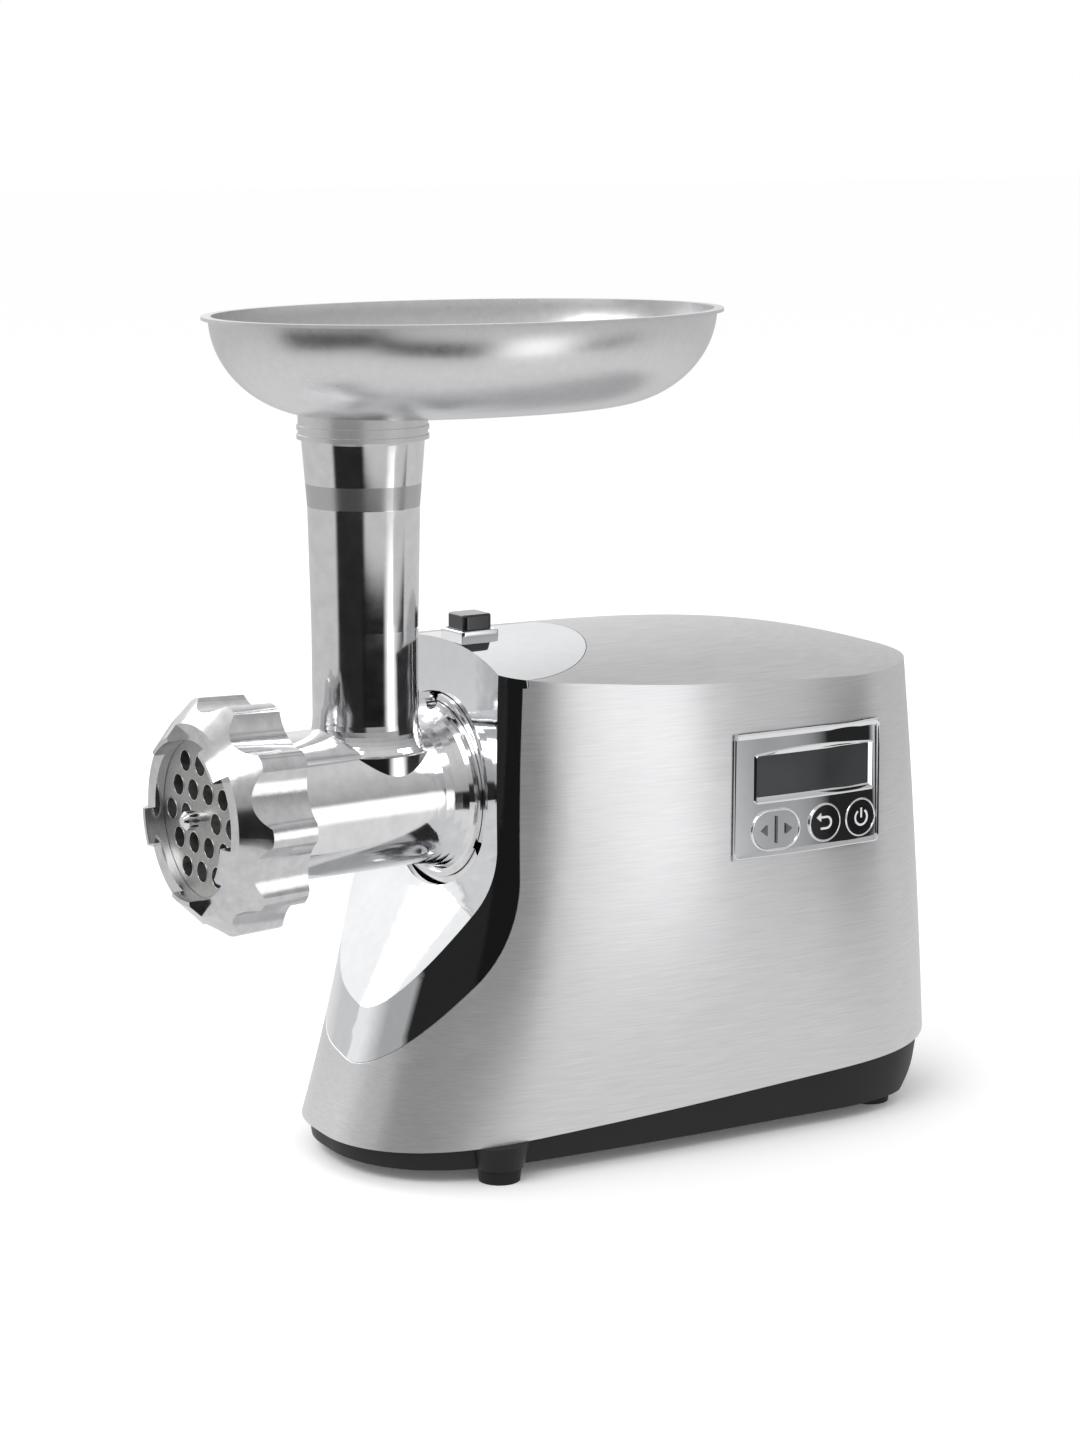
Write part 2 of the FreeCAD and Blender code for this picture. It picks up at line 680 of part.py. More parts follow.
def stadium(y, z, half_len, radius, x0, x1):
    # rounded bar across X; half_len 0 gives a plain disc
    body = cyl(radius, x1 - x0, V(x0, y - half_len, z), V(1, 0, 0))
    if half_len > 0:
        body = body.fuse(cyl(radius, x1 - x0, V(x0, y + half_len, z), V(1, 0, 0)))
        body = body.fuse(box(x0, x1, y - half_len, y + half_len, z - radius, z + radius))
    return body.removeSplitter()


keys = {"rocker_button": (rocker_y, rocker_z, rocker_len / 2 - rocker_h / 2, rocker_h / 2),
        "return_button": (return_y, round_z, 0, round_r), "power_button": (power_y, round_z, 0, round_r)}
bezel = skin_layer(panel_proud, panel_depth).common(panel_block(panel_y0, panel_y1, panel_z0, panel_z1))
panel_rim = 2 + fit_gap   # the bezel's border rests on the skin this far in
bezel_plug = panel_block(panel_y0 + panel_rim, panel_y1 - panel_rim,
                         panel_z0 + panel_rim, panel_z1 - panel_rim)
bezel = bezel.cut(skin_layer(0, panel_depth + 1).cut(bezel_plug))
bezel = bezel.cut(panel_block(window_y0, window_y1, window_z0, window_z1))
for y, z, half_len, radius in keys.values():
    bezel = bezel.cut(stadium(y, z, half_len, radius + key_gap, 40, 100))
post_low = panel_z0 + post_in
post_high = panel_z1 - post_in
post_near = panel_y0 + post_in + 1.2
post_mid = (rocker_y + rocker_len / 2 + return_y - round_r) / 2
post_far = panel_y1 - post_in - 3.5
for y, z in ((post_near, post_low), (post_mid, post_low), (post_near, post_high), (post_far, post_high)):
    post_x = wall_x(y, z) - 1.0
    bezel = bezel.fuse(cyl(post_r, post_x - key_seat_x, V(key_seat_x, y, z), V(1, 0, 0)))
export("control_bezel", bezel)
window = skin_layer(panel_proud - window_sink, window_t).common(
    panel_block(window_y0 + fit_gap, window_y1 - fit_gap, window_z0 + fit_gap, window_z1 - fit_gap))
export("display_window", window)
for name, (y, z, half_len, radius) in keys.items():
    face_x = wall_x(y, z) + panel_proud + 0.5
    crown = skin(-panel_proud - 0.5, 0).common(stadium(y, z, half_len, radius, face_x - key_len, 100))
    plunger = cyl(1.6, face_x - key_len + 0.5 - key_seat_x - 2.6, V(key_seat_x + 2.6, y, z), V(1, 0, 0))
    if half_len > 0:
        plunger = cyl(1.6, face_x - key_len + 0.5 - key_seat_x - 3.4, V(key_seat_x + 3.4, y, z), V(1, 0, 0))
    export(name, crown.fuse(plunger))
module_back = key_seat_x
module_front = wall_x((window_y0 + window_y1) / 2, window_z0) - window_t - 3.0
module = box(module_back, module_front - 1.0, window_y0 + 3, window_y1 - 3, window_z0 + 1, window_z1 - 1)
export("display_module", module)
board = box(key_seat_x - board_t, key_seat_x, panel_y0 + 5, panel_y1 - 5, panel_z0 + 3, panel_z1 - 3)
export("key_board", board)
pads = []
for name, (y, z, half_len, radius) in keys.items():
    spots = (-5.0, 5.0) if half_len > 0 else (0.0,)
    for offset in spots:
        pads.append(cyl(2.4, 1.1, V(key_seat_x, y + offset, z), V(1, 0, 0)))
export("key_switches", Part.makeCompound(pads))

# --- gear train: motor pinion, idler, output ---

out_x = 0.0
big1_r = stage1_m * stage1_big / 2
small1_r = stage1_m * stage1_small / 2
big2_r = stage2_m * stage2_big / 2
small2_r = stage2_m * stage2_small / 2
reach1 = big1_r + small1_r
reach2 = big2_r + small2_r
gap_x = out_x - motor_x
gap_z = axis_z - motor_z
gap = math.hypot(gap_x, gap_z)
along = (reach1 ** 2 - reach2 ** 2 + gap ** 2) / (2 * gap)
aside = math.sqrt(reach1 ** 2 - along ** 2)
idler_x = motor_x + gap_x * along / gap + gap_z * aside / gap
idler_z = motor_z + gap_z * along / gap - gap_x * aside / gap
print("idler axis", round(idler_x, 3), round(idler_z, 3))


def gear(teeth, module, width, x, y, z, bore, turn):
    # straight-flanked teeth with generous backlash; turn points one tooth's middle, in degrees from +X
    pitch_r = module * teeth / 2
    step = 2 * math.pi / teeth
    root_half = 0.27 * step
    pitch_half = 0.225 * step
    tip_half = 0.11 * step
    points = []
    for i in range(teeth):
        mid = math.radians(turn) + i * step
        for angle, radius in ((-root_half, pitch_r - 1.25 * module), (-pitch_half, pitch_r),
                              (-tip_half, pitch_r + 0.9 * module), (tip_half, pitch_r + 0.9 * module),
                              (pitch_half, pitch_r), (root_half, pitch_r - 1.25 * module)):
            points.append(V(x + radius * math.cos(mid + angle), y, z + radius * math.sin(mid + angle)))
    blank = Part.Face(Part.makePolygon(points + points[:1])).extrude(V(0, width, 0))
    return blank.cut(cyl(bore, width + 2, V(x, y - 1, z)))


def mesh_turn(from_x, from_z, to_x, to_z, teeth, turn, other_teeth):
    # the turn that puts a gap of the second gear where the first gear's tooth points
    line = math.degrees(math.atan2(to_z - from_z, to_x - from_x))
    step = 360.0 / teeth
    phase = ((line - turn) / step) % 1.0
    back = line + 180
    other_step = 360.0 / other_teeth
    return back + (0.5 + phase) * other_step


turn_motor = 0.0
turn_idler_big = mesh_turn(motor_x, motor_z, idler_x, idler_z, stage1_small, turn_motor, stage1_big)
turn_idler_small = 0.0
turn_output = mesh_turn(idler_x, idler_z, out_x, axis_z, stage2_small, turn_idler_small, stage2_big)
bush_y0 = case_front_y + 0.5
cover_y = gear1_y + gear1_w + 1.5
export("output_gear", gear(stage2_big, stage2_m, gear2_w, out_x, gear2_y, axis_z, shaft_out_r, turn_output))
idler_big = gear(stage1_big, stage1_m, gear1_w, idler_x, gear1_y, idler_z, shaft_mid_r, turn_idler_big)
export("idler_gear", idler_big)
export("idler_pinion", gear(stage2_small, stage2_m, gear2_w + 3, idler_x, gear2_y - 1.5, idler_z, shaft_mid_r,
                            turn_idler_small))
pinion_bore = stage1_m * 3.2
motor_small = gear(stage1_small, stage1_m, gear1_w + 1, motor_x, gear1_y - 0.5, motor_z, pinion_bore,
                   turn_motor)
export("motor_pinion", motor_small)
cup_front = tail_front + slip_gap
cup_back = tail_front + tail_len + 3.0
socket_hex = hexagon(hex_af + 2 * fit_gap, 40, cup_front - 1)
socket_hex = socket_hex.common(cyl(30, tail_len + 1.3, V(0, cup_front - 1, axis_z)))
cup = cyl(cup_r, cup_back - cup_front, V(0, cup_front, axis_z)).cut(socket_hex)
out_shaft = cup.fuse(cyl(shaft_out_r, cover_y + cover_t - 1 - cup_back + 1, V(0, cup_back - 1, axis_z)))
export("output_shaft", out_shaft)
export("idler_shaft", cyl(shaft_mid_r, cover_y + cover_t - 1 - bush_y0, V(idler_x, bush_y0, idler_z)))

# --- gearbox case and cover ---

case_space = [(out_x, axis_z, big2_r + stage2_m + 1.5), (idler_x, idler_z, big1_r + stage1_m + 1.5),
              (motor_x, motor_z, small1_r + stage1_m + 7)]
front_wall = case_wall + 2
case_len = cover_y - case_front_y
case_outer = fuse([cyl(r + case_wall, case_len, V(x, case_front_y, z)) for x, z, r in case_space])
inner_y = case_front_y + front_wall
case_inner = fuse([cyl(r, cover_y - inner_y, V(x, inner_y, z)) for x, z, r in case_space])
socket_y = ring_front + ring_t
socket_len = case_front_y + 1 - socket_y
socket = cyl(ring_r + 3.4, socket_len, V(0, socket_y, axis_z))
socket = socket.cut(cyl(spigot_r + slip_gap, spigot_back + 1.2 - socket_y, V(0, socket_y, axis_z)))
case = case_outer.cut(case_inner).fuse(socket)
case = case.cut(cyl(cup_r + bush_t, 60, V(0, case_front_y - 0.5, axis_z)).common(case_outer))
case = case.cut(cyl(cup_r + 1.0, 40, V(0, socket_y - 1, axis_z)))
case = case.cut(cyl(stem_r + slip_gap, 60, V(0, button_y, axis_z + spigot_r), V(0, 0, 1)))
case = case.cut(cyl(shaft_mid_r + bush_t, front_wall, V(idler_x, case_front_y + 0.4, idler_z)))
export("gearbox_case", case)
shaft_spots = ((out_x, axis_z, shaft_out_r), (idler_x, idler_z, shaft_mid_r),
               (motor_x, motor_z, shaft_motor_r))
cover = fuse([cyl(r + case_wall, cover_t, V(x, cover_y, z)) for x, z, r in case_space])
for x, z, r in shaft_spots:
    cover = cover.cut(cyl(r + bush_t, cover_t + 2, V(x, cover_y - 1, z)))
export("gearbox_cover", cover)
cup_bush = tube(cup_r + bush_t, cup_r + run_gap, front_wall, V(out_x, case_front_y, axis_z))
bushes = [cup_bush, tube(shaft_mid_r + bush_t, shaft_mid_r + run_gap, front_wall - 0.4,
                         V(idler_x, case_front_y + 0.4, idler_z))]
for x, z, r in shaft_spots:
    bushes.append(tube(r + bush_t, r + run_gap, cover_t, V(x, cover_y, z)))
export("shaft_bushes", Part.makeCompound(bushes))

# --- motor ---

motor_end_y = rear_bracket_y + bracket_t + 1.0
shaft_front_y = gear1_y - 1.0
step_y = cover_y - 0.3
motor_shaft = cyl(pinion_bore, step_y - shaft_front_y, V(motor_x, shaft_front_y, motor_z))
motor_shaft = motor_shaft.fuse(cyl(shaft_motor_r, motor_end_y - step_y, V(motor_x, step_y, motor_z)))
export("motor_shaft", motor_shaft)
armature = tube(armature_r, shaft_motor_r, stator_len, V(motor_x, stator_y0, motor_z))
slots = 12
for i in range(slots):
    angle = 2 * math.pi * i / slots
    at = V(motor_x + armature_r * math.cos(angle), stator_y0 - 1, motor_z + armature_r * math.sin(angle))
    armature = armature.cut(cyl(1.5, stator_len + 2, at))
export("armature_stack", armature)
windings = tube(armature_r - 3, shaft_motor_r, coil_over - 2, V(motor_x, stator_y0 + stator_len, motor_z))
front_coil_at = V(motor_x, stator_y0 - coil_over + 4, motor_z)
windings = windings.fuse(tube(armature_r - 3, shaft_motor_r, coil_over - 4, front_coil_at))
export("armature_windings", windings)
commutator = tube(commutator_r, shaft_motor_r, commutator_len, V(motor_x, commutator_y, motor_z))
bars = 24
for i in range(bars):
    angle = 2 * math.pi * i / bars
    groove_end = commutator_y + commutator_len + 1
    groove = box(-0.35, 0.35, commutator_y - 1, groove_end, commutator_r - 0.9, commutator_r + 1)
    groove.rotate(V(0, 0, 0), V(0, 1, 0), math.degrees(angle))
    groove.translate(V(motor_x, 0, motor_z))
    commutator = commutator.cut(groove)
export("commutator", commutator)
fan = tube(8.0, shaft_motor_r, fan_t, V(motor_x, cover_y + cover_t + 1.0, motor_z))
fan_y0 = cover_y + cover_t + 1.0
fan = fan.fuse(tube(fan_r, 7.0, 1.2, V(motor_x, fan_y0, motor_z)))
fan_blades = 11
for i in range(fan_blades):
    vane = box(-0.7, 0.7, fan_y0, fan_y0 + fan_t, 10.0, fan_r - 0.5)
    vane.rotate(V(0, 0, 0), V(0, 1, 0), 360.0 / fan_blades * i)
    vane.translate(V(motor_x, 0, motor_z))
    fan = fan.fuse(vane)
export("motor_fan", fan)
stator = tube(stator_r, armature_r + air_gap, stator_len, V(motor_x, stator_y0, motor_z))
for side in (-1, 1):
    window_cut = tube(stator_r - 6, armature_r + air_gap, stator_len + 2, V(motor_x, stator_y0 - 1, motor_z))
    window_cut = window_cut.common(box(motor_x - 15, motor_x + 15, stator_y0 - 2, stator_y0 + stator_len + 2,
                                       motor_z + (0 if side > 0 else -60), motor_z + (60 if side > 0 else 0)))
    stator = stator.cut(window_cut)
    bolt_at = V(motor_x + side * tie_bolt_x, stator_y0 - 1, motor_z)
    stator = stator.cut(cyl(tie_bolt_r + fit_gap, stator_len + 2, bolt_at))
export("motor_stator", stator)
field = []
for side in (-1, 1):
    coil_at = V(motor_x, stator_y0 - coil_over, motor_z)
    coil = tube(stator_r - 6.3, armature_r + air_gap + 0.6, stator_len + 2 * coil_over, coil_at)
    half_z = (motor_z + 2, motor_z + 60) if side > 0 else (motor_z - 60, motor_z - 2)
    coil_end = stator_y0 + stator_len + coil_over
    coil = coil.common(box(motor_x - 14.6, motor_x + 14.6, coil_at.y, coil_end, half_z[0], half_z[1]))
    field.append(coil)
export("field_windings", Part.makeCompound(field))
bracket_end = rear_bracket_y + bracket_t
bracket = box(motor_x - stator_r, motor_x + stator_r, rear_bracket_y, bracket_end, motor_z - 16, motor_z + 16)
bracket = bracket.fuse(cyl(16 + bush_t, bracket_t + 6, V(motor_x, rear_bracket_y - 6, motor_z)))
bracket = bracket.cut(cyl(shaft_motor_r + bush_t, 40, V(motor_x, rear_bracket_y - 20, motor_z)))
for side in (-1, 1):
    bolt_at = V(motor_x + side * tie_bolt_x, rear_bracket_y - 10, motor_z)
    bracket = bracket.cut(cyl(tie_bolt_r + fit_gap, bracket_t + 20, bolt_at))
export("rear_bracket", bracket)
rear_bush_at = V(motor_x, rear_bracket_y - 6, motor_z)
export("rear_bush", tube(shaft_motor_r + bush_t, shaft_motor_r + run_gap, bracket_t + 6, rear_bush_at))
bolts = []
for side in (-1, 1):
    at = V(motor_x + side * tie_bolt_x, cover_y + cover_t, motor_z)
    bolt = cyl(tie_bolt_r, rear_bracket_y + bracket_t - at.y, at).fuse(
        cyl(tie_bolt_r * 1.9, 3.0, V(at.x, rear_bracket_y + bracket_t, at.z)))
    bolts.append(bolt)
export("tie_bolts", Part.makeCompound(bolts))
brushes = []
holders = []
for side in (-1, 1):
    x0 = motor_x + side * (commutator_r + 0.15)
    x1 = motor_x + side * (commutator_r + 12)
    x2 = motor_x + side * (commutator_r + 20)
    lo, hi = min(x0, x1), max(x0, x1)
    brushes.append(box(lo, hi, commutator_y + 3, commutator_y + commutator_len - 3, motor_z - 3, motor_z + 3))
    lo, hi = min(motor_x + side * (commutator_r + 3), x2), max(motor_x + side * (commutator_r + 3), x2)
    holder = box(lo, hi, commutator_y + 1.5, rear_bracket_y, motor_z - 4.6, motor_z + 4.6)
    slot_y0 = commutator_y + 3 - 0.1
    slot_y1 = commutator_y + commutator_len - 3 + 0.1
    slot = box(min(x0, x2), max(x0, x2), slot_y0, slot_y1, motor_z - 3.1, motor_z + 3.1)
    boss_room = cyl(16 + bush_t + 0.1, 20, V(motor_x, rear_bracket_y - 6.1, motor_z))
    holders.append(holder.cut(slot).cut(boss_room))
export("carbon_brushes", Part.makeCompound(brushes))
export("brush_holders", Part.makeCompound(holders))

# --- power board, gland and base screws ---

power_board = box(-42, 42, 112.0, 113.6, 24, 60)
relay = box(-30, -12, 113.6, 124, 30, 46)
capacitor = cyl(7, 12, V(20, 113.6, 42))
export("power_board", power_board.fuse([relay, capacitor]))
back_y = outer.common(Part.makeLine(V(0, 100, gland_z), V(0, 220, gland_z))).BoundBox.YMax
gland = cyl(gland_body_r, -nut_front_y - back_y + 10, V(0, back_y - 10, gland_z))
gland = gland.fuse(cyl(gland_flange_r, -nut_front_y - back_y + 2, V(0, back_y - 2, gland_z)).cut(outer))
export("cord_gland", gland.cut(cyl(gland_bore_r, 40, V(0, back_y - 20, gland_z))))
print("back", back_y)
screws = []
for x, y in foot_spots:
    screw_at = V(x * screw_x, y * screw_y, pan_bottom_z + screw_sink - screw_head_t)
    screws.append(cyl(screw_head_r, screw_head_t, screw_at, V(0, 0, 1)))
export("base_screws", Part.makeCompound(screws))

# --- base pan's ribs, which carry the gearbox, the stator and the power board ---

rib_t = 4.0
ribs = []
for y in (stator_y0 + 4, stator_y0 + stator_len - 4 - rib_t):
    ribs.append(box(motor_x - 24, motor_x + 24, y, y + rib_t, pan_floor - 0.5, motor_z - 24).cut(
        cyl(stator_r + fit_gap / 2, stator_len, V(motor_x, stator_y0, motor_z))))
case_rib_y = case_front_y + 8
case_rib = box(motor_x - 14, motor_x + 30, case_rib_y, case_rib_y + rib_t, pan_floor - 0.5, motor_z)
ribs.append(case_rib.cut(case_outer))
for x in (-38, 34):
    ribs.append(box(x, x + rib_t, 100, 112.0, pan_floor - 0.5, 34))
export("base_pan", pan.fuse(ribs))
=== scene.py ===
import bpy
import bmesh
import math
import numpy as np
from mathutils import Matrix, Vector


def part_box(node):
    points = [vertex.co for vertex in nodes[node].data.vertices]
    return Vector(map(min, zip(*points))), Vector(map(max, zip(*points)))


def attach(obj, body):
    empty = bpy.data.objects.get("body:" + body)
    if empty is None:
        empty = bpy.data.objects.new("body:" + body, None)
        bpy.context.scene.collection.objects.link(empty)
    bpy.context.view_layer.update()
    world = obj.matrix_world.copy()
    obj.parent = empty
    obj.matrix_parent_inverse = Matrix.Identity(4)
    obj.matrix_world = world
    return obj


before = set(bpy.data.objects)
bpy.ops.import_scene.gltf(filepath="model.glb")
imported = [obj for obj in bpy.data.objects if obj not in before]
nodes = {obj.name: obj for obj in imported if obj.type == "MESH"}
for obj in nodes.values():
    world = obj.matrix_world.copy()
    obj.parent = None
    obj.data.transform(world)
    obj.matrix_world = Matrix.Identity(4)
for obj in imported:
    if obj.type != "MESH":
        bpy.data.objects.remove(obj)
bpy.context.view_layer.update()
mm = 0.001


# small helpers for materials

def newMaterial(name):
    mat = bpy.data.materials.new(name)
    mat.use_nodes = True
    tree = mat.node_tree
    tree.nodes.clear()
    out = tree.nodes.new("ShaderNodeOutputMaterial")
    shader = tree.nodes.new("ShaderNodeBsdfPrincipled")
    tree.links.new(shader.outputs["BSDF"], out.inputs["Surface"])
    coords = tree.nodes.new("ShaderNodeTexCoord")
    return mat, tree, shader, coords


def mapped(tree, coords, scale=(1, 1, 1), location=(0, 0, 0), rotation=(0, 0, 0)):
    node = tree.nodes.new("ShaderNodeMapping")
    node.inputs["Scale"].default_value = scale
    node.inputs["Location"].default_value = location
    node.inputs["Rotation"].default_value = rotation
    tree.links.new(coords.outputs["Object"], node.inputs["Vector"])
    return node.outputs["Vector"]


def noise(tree, vector, scale, detail=3.0, rough=0.55):
    node = tree.nodes.new("ShaderNodeTexNoise")
    node.inputs["Scale"].default_value = scale
    node.inputs["Detail"].default_value = detail
    node.inputs["Roughness"].default_value = rough
    tree.links.new(vector, node.inputs["Vector"])
    return node.outputs["Fac"]


def ramp(tree, value, low, high, fromLow=0.0, fromHigh=1.0):
    node = tree.nodes.new("ShaderNodeMapRange")
    node.inputs["From Min"].default_value = fromLow
    node.inputs["From Max"].default_value = fromHigh
    node.inputs["To Min"].default_value = low
    node.inputs["To Max"].default_value = high
    tree.links.new(value, node.inputs["Value"])
    return node.outputs["Result"]


def tint(tree, value, dark, light):
    node = tree.nodes.new("ShaderNodeValToRGB")
    node.color_ramp.elements[0].color = (*dark, 1)
    node.color_ramp.elements[1].color = (*light, 1)
    node.color_ramp.elements[0].position = 0.3
    node.color_ramp.elements[1].position = 0.7
    tree.links.new(value, node.inputs["Fac"])
    return node.outputs["Color"]


def bump(tree, shader, height, strength, distance):
    node = tree.nodes.new("ShaderNodeBump")
    node.inputs["Strength"].default_value = strength
    node.inputs["Distance"].default_value = distance
    tree.links.new(height, node.inputs["Height"])
    tree.links.new(node.outputs["Normal"], shader.inputs["Normal"])


def metal(name, dark, light, roughLow, roughHigh, grainScale=(1, 1, 1), grain=400.0, strength=0.05,
          distance=0.00005, smudge=18.0, metallic=1.0):
    # grain: fine marks, stretched by grainScale; smudge: slow changes of gloss over the piece
    mat, tree, shader, coords = newMaterial(name)
    fine = noise(tree, mapped(tree, coords, grainScale), grain, 4.0)
    slow = noise(tree, mapped(tree, coords), smudge, 2.0)
    both = tree.nodes.new("ShaderNodeMath")
    both.operation = "ADD"
    tree.links.new(ramp(tree, fine, 0.0, 0.5), both.inputs[0])
    tree.links.new(ramp(tree, slow, 0.0, 0.5), both.inputs[1])
    tree.links.new(tint(tree, fine, dark, light), shader.inputs["Base Color"])
    gloss = ramp(tree, both.outputs["Value"], roughLow, roughHigh, 0.3, 0.7)
    tree.links.new(gloss, shader.inputs["Roughness"])
    shader.inputs["Metallic"].default_value = metallic
    bump(tree, shader, fine, strength, distance)
    return mat


def plastic(name, dark, light, roughLow, roughHigh, grain=900.0, strength=0.1, distance=0.0001, coat=0.0,
            specular=0.5):
    mat, tree, shader, coords = newMaterial(name)
    fine = noise(tree, mapped(tree, coords), grain, 3.0)
    slow = noise(tree, mapped(tree, coords), 25.0, 2.0)
    tree.links.new(tint(tree, slow, dark, light), shader.inputs["Base Color"])
    tree.links.new(ramp(tree, slow, roughLow, roughHigh, 0.3, 0.7), shader.inputs["Roughness"])
    shader.inputs["Coat Weight"].default_value = coat
    shader.inputs["Specular IOR Level"].default_value = specular
    bump(tree, shader, fine, strength, distance)
    return mat


def finish(piece, *mats):
    piece.data.materials.clear()
    for mat in mats:
        piece.data.materials.append(mat)


# finishes

brushedShell = metal("brushedShell", (0.62, 0.62, 0.63), (0.71, 0.71, 0.72), 0.28, 0.34,
                     (0.2, 0.04, 1.5), 1300.0, 0.035, metallic=0.85)
mirrorChrome = metal("mirrorChrome", (0.86, 0.87, 0.89), (0.90, 0.91, 0.92), 0.02, 0.05,
                     grain=200.0, strength=0.01)
castHead = metal("polishedCast", (0.76, 0.76, 0.77), (0.86, 0.86, 0.87), 0.07, 0.14,
                 grain=160.0, strength=0.03, distance=0.0002)
nutAlloy = metal("nutAlloy", (0.60, 0.60, 0.61), (0.72, 0.72, 0.73), 0.10, 0.18,
                 grain=220.0, strength=0.04, distance=0.0002)
plateSteel = metal("plateSteel", (0.34, 0.337, 0.33), (0.48, 0.475, 0.465), 0.34, 0.5,
                   grain=1500.0, strength=0.25, distance=0.00008)
groundSteel = metal("groundSteel", (0.45, 0.45, 0.46), (0.6, 0.6, 0.61), 0.2, 0.34, (1, 1, 8), 700.0, 0.15)
traySteel = metal("traySteel", (0.72, 0.72, 0.73), (0.77, 0.77, 0.78), 0.26, 0.32,
                  grain=300.0, strength=0.005)
matteBase = plastic("matteBase", (0.006, 0.006, 0.0065), (0.01, 0.01, 0.011), 0.4, 0.52,
                    1600.0, 0.2, specular=0.3)
rubberPad = plastic("rubberPad", (0.008, 0.008, 0.008), (0.013, 0.013, 0.013), 0.6, 0.75,
                    1100.0, 0.3, specular=0.25)
glossBlack = plastic("glossBlack", (0.008, 0.008, 0.009), (0.012, 0.012, 0.013), 0.05, 0.09,
                     300.0, 0.01, coat=0.6)
displayGlass = plastic("displayGlass", (0.03, 0.032, 0.034), (0.045, 0.047, 0.05), 0.06, 0.12,
                       300.0, 0.01, coat=0.5)
whiteMoulding = plastic("whiteMoulding", (0.72, 0.72, 0.70), (0.8, 0.8, 0.78), 0.35, 0.5)
boardGreen = plastic("boardGreen", (0.02, 0.14, 0.05), (0.03, 0.2, 0.08), 0.3, 0.45, 700.0, 0.15)
gearNylon = plastic("gearNylon", (0.7, 0.68, 0.6), (0.8, 0.78, 0.7), 0.4, 0.55)
gearCase = plastic("gearCase", (0.03, 0.03, 0.034), (0.05, 0.05, 0.055), 0.45, 0.6)
bronze = metal("bronze", (0.5, 0.33, 0.16), (0.62, 0.44, 0.24), 0.3, 0.45, grain=900.0, strength=0.1)
copperWire = metal("copperWire", (0.6, 0.26, 0.1), (0.75, 0.4, 0.2), 0.25, 0.4, (1, 8, 1), 600.0, 0.4, 0.0002)
coreSteel = metal("coreSteel", (0.2, 0.2, 0.21), (0.34, 0.34, 0.35), 0.4, 0.55,
                  (0.2, 12, 0.2), 500.0, 0.4, 0.0002)
carbon = plastic("carbon", (0.02, 0.02, 0.02), (0.04, 0.04, 0.04), 0.5, 0.65)
springSteel = metal("springSteel", (0.5, 0.5, 0.51), (0.65, 0.65, 0.66), 0.2, 0.3)
satinRing = {"low": 0.251, "high": 0.2595, "edge": 0.3 * mm, "rough": 0.26, "colour": (0.55, 0.55, 0.56)}


def satinBand(base, name):
    # the same metal with a matt machined ring between two heights
    s = satinRing
    mat = base.copy()
    mat.name = name
    tree = mat.node_tree
    shader = [n for n in tree.nodes if n.type == "BSDF_PRINCIPLED"][0]
    coords = [n for n in tree.nodes if n.type == "TEX_COORD"][0]
    split = tree.nodes.new("ShaderNodeSeparateXYZ")
    tree.links.new(coords.outputs["Object"], split.inputs["Vector"])
    rise = ramp(tree, split.outputs["Z"], 0, 1, s["low"], s["low"] + s["edge"])
    fall = ramp(tree, split.outputs["Z"], 1, 0, s["high"], s["high"] + s["edge"])
    both = tree.nodes.new("ShaderNodeMath")
    both.operation = "MULTIPLY"
    tree.links.new(rise, both.inputs[0])
    tree.links.new(fall, both.inputs[1])
    rough = s["rough"]
    for socket, value in (("Roughness", (rough, rough, rough, 1)), ("Base Color", (*s["colour"], 1))):
        before = shader.inputs[socket].links[0].from_socket
        mix = tree.nodes.new("ShaderNodeMix")
        mix.data_type = "RGBA"
        mix.inputs[7].default_value = value
        tree.links.new(both.outputs["Value"], mix.inputs[0])
        tree.links.new(before, mix.inputs[6])
        tree.links.new(mix.outputs[2], shader.inputs[socket])
    return mat


headFinish = satinBand(castHead, "castWithSatinRing")
nodeFinish = {
    "body_shell": brushedShell, "front_shroud": mirrorChrome, "bayonet_ring": castHead,
    "grinder_head": headFinish, "ring_nut": nutAlloy, "grinding_plate": plateSteel,
    "cutting_knife": groundSteel, "auger": castHead, "hopper_tray": traySteel, "base_pan": matteBase,
    "release_button": glossBlack, "control_bezel": mirrorChrome, "display_window": displayGlass,
    "rocker_button": mirrorChrome, "return_button": glossBlack, "power_button": glossBlack,
    "cord_gland": rubberPad, "release_spring": springSteel, "thrust_washer": whiteMoulding,
    "display_module": whiteMoulding, "motor_fan": whiteMoulding, "key_board": boardGreen,
    "power_board": boardGreen, "idler_gear": gearNylon, "output_gear": gearNylon,
    "gearbox_case": gearCase, "gearbox_cover": gearCase, "brush_holders": gearCase,
    "shaft_bushes": bronze, "rear_bush": bronze, "head_bush": bronze, "field_windings": copperWire,
    "armature_windings": copperWire, "commutator": copperWire, "motor_stator": coreSteel,
    "armature_stack": coreSteel, "carbon_brushes": carbon,
}
for name, piece in nodes.items():
    if name.startswith("foot_"):
        finish(piece, rubberPad)
    else:
        finish(piece, nodeFinish.get(name, groundSteel))
print("finishes set on", len(nodes), "nodes")


# helpers for made pieces

def makePiece(name, verts, faces, body, mat, slotName, smooth=True):
    mesh = bpy.data.meshes.new(name)
    mesh.from_pydata([Vector(v) for v in verts], [], faces)
    mesh.update()
    work = bmesh.new()
    work.from_mesh(mesh)
    bmesh.ops.remove_doubles(work, verts=work.verts, dist=1e-7)
    bmesh.ops.recalc_face_normals(work, faces=work.faces)
    work.to_mesh(mesh)
    work.free()
    piece = bpy.data.objects.new(name, mesh)
    bpy.context.scene.collection.objects.link(piece)
    if smooth:
        mesh.shade_smooth()
        mesh.set_sharp_from_angle(angle=math.radians(35))
    finish(piece, mat)
    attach(piece, body)
    return piece


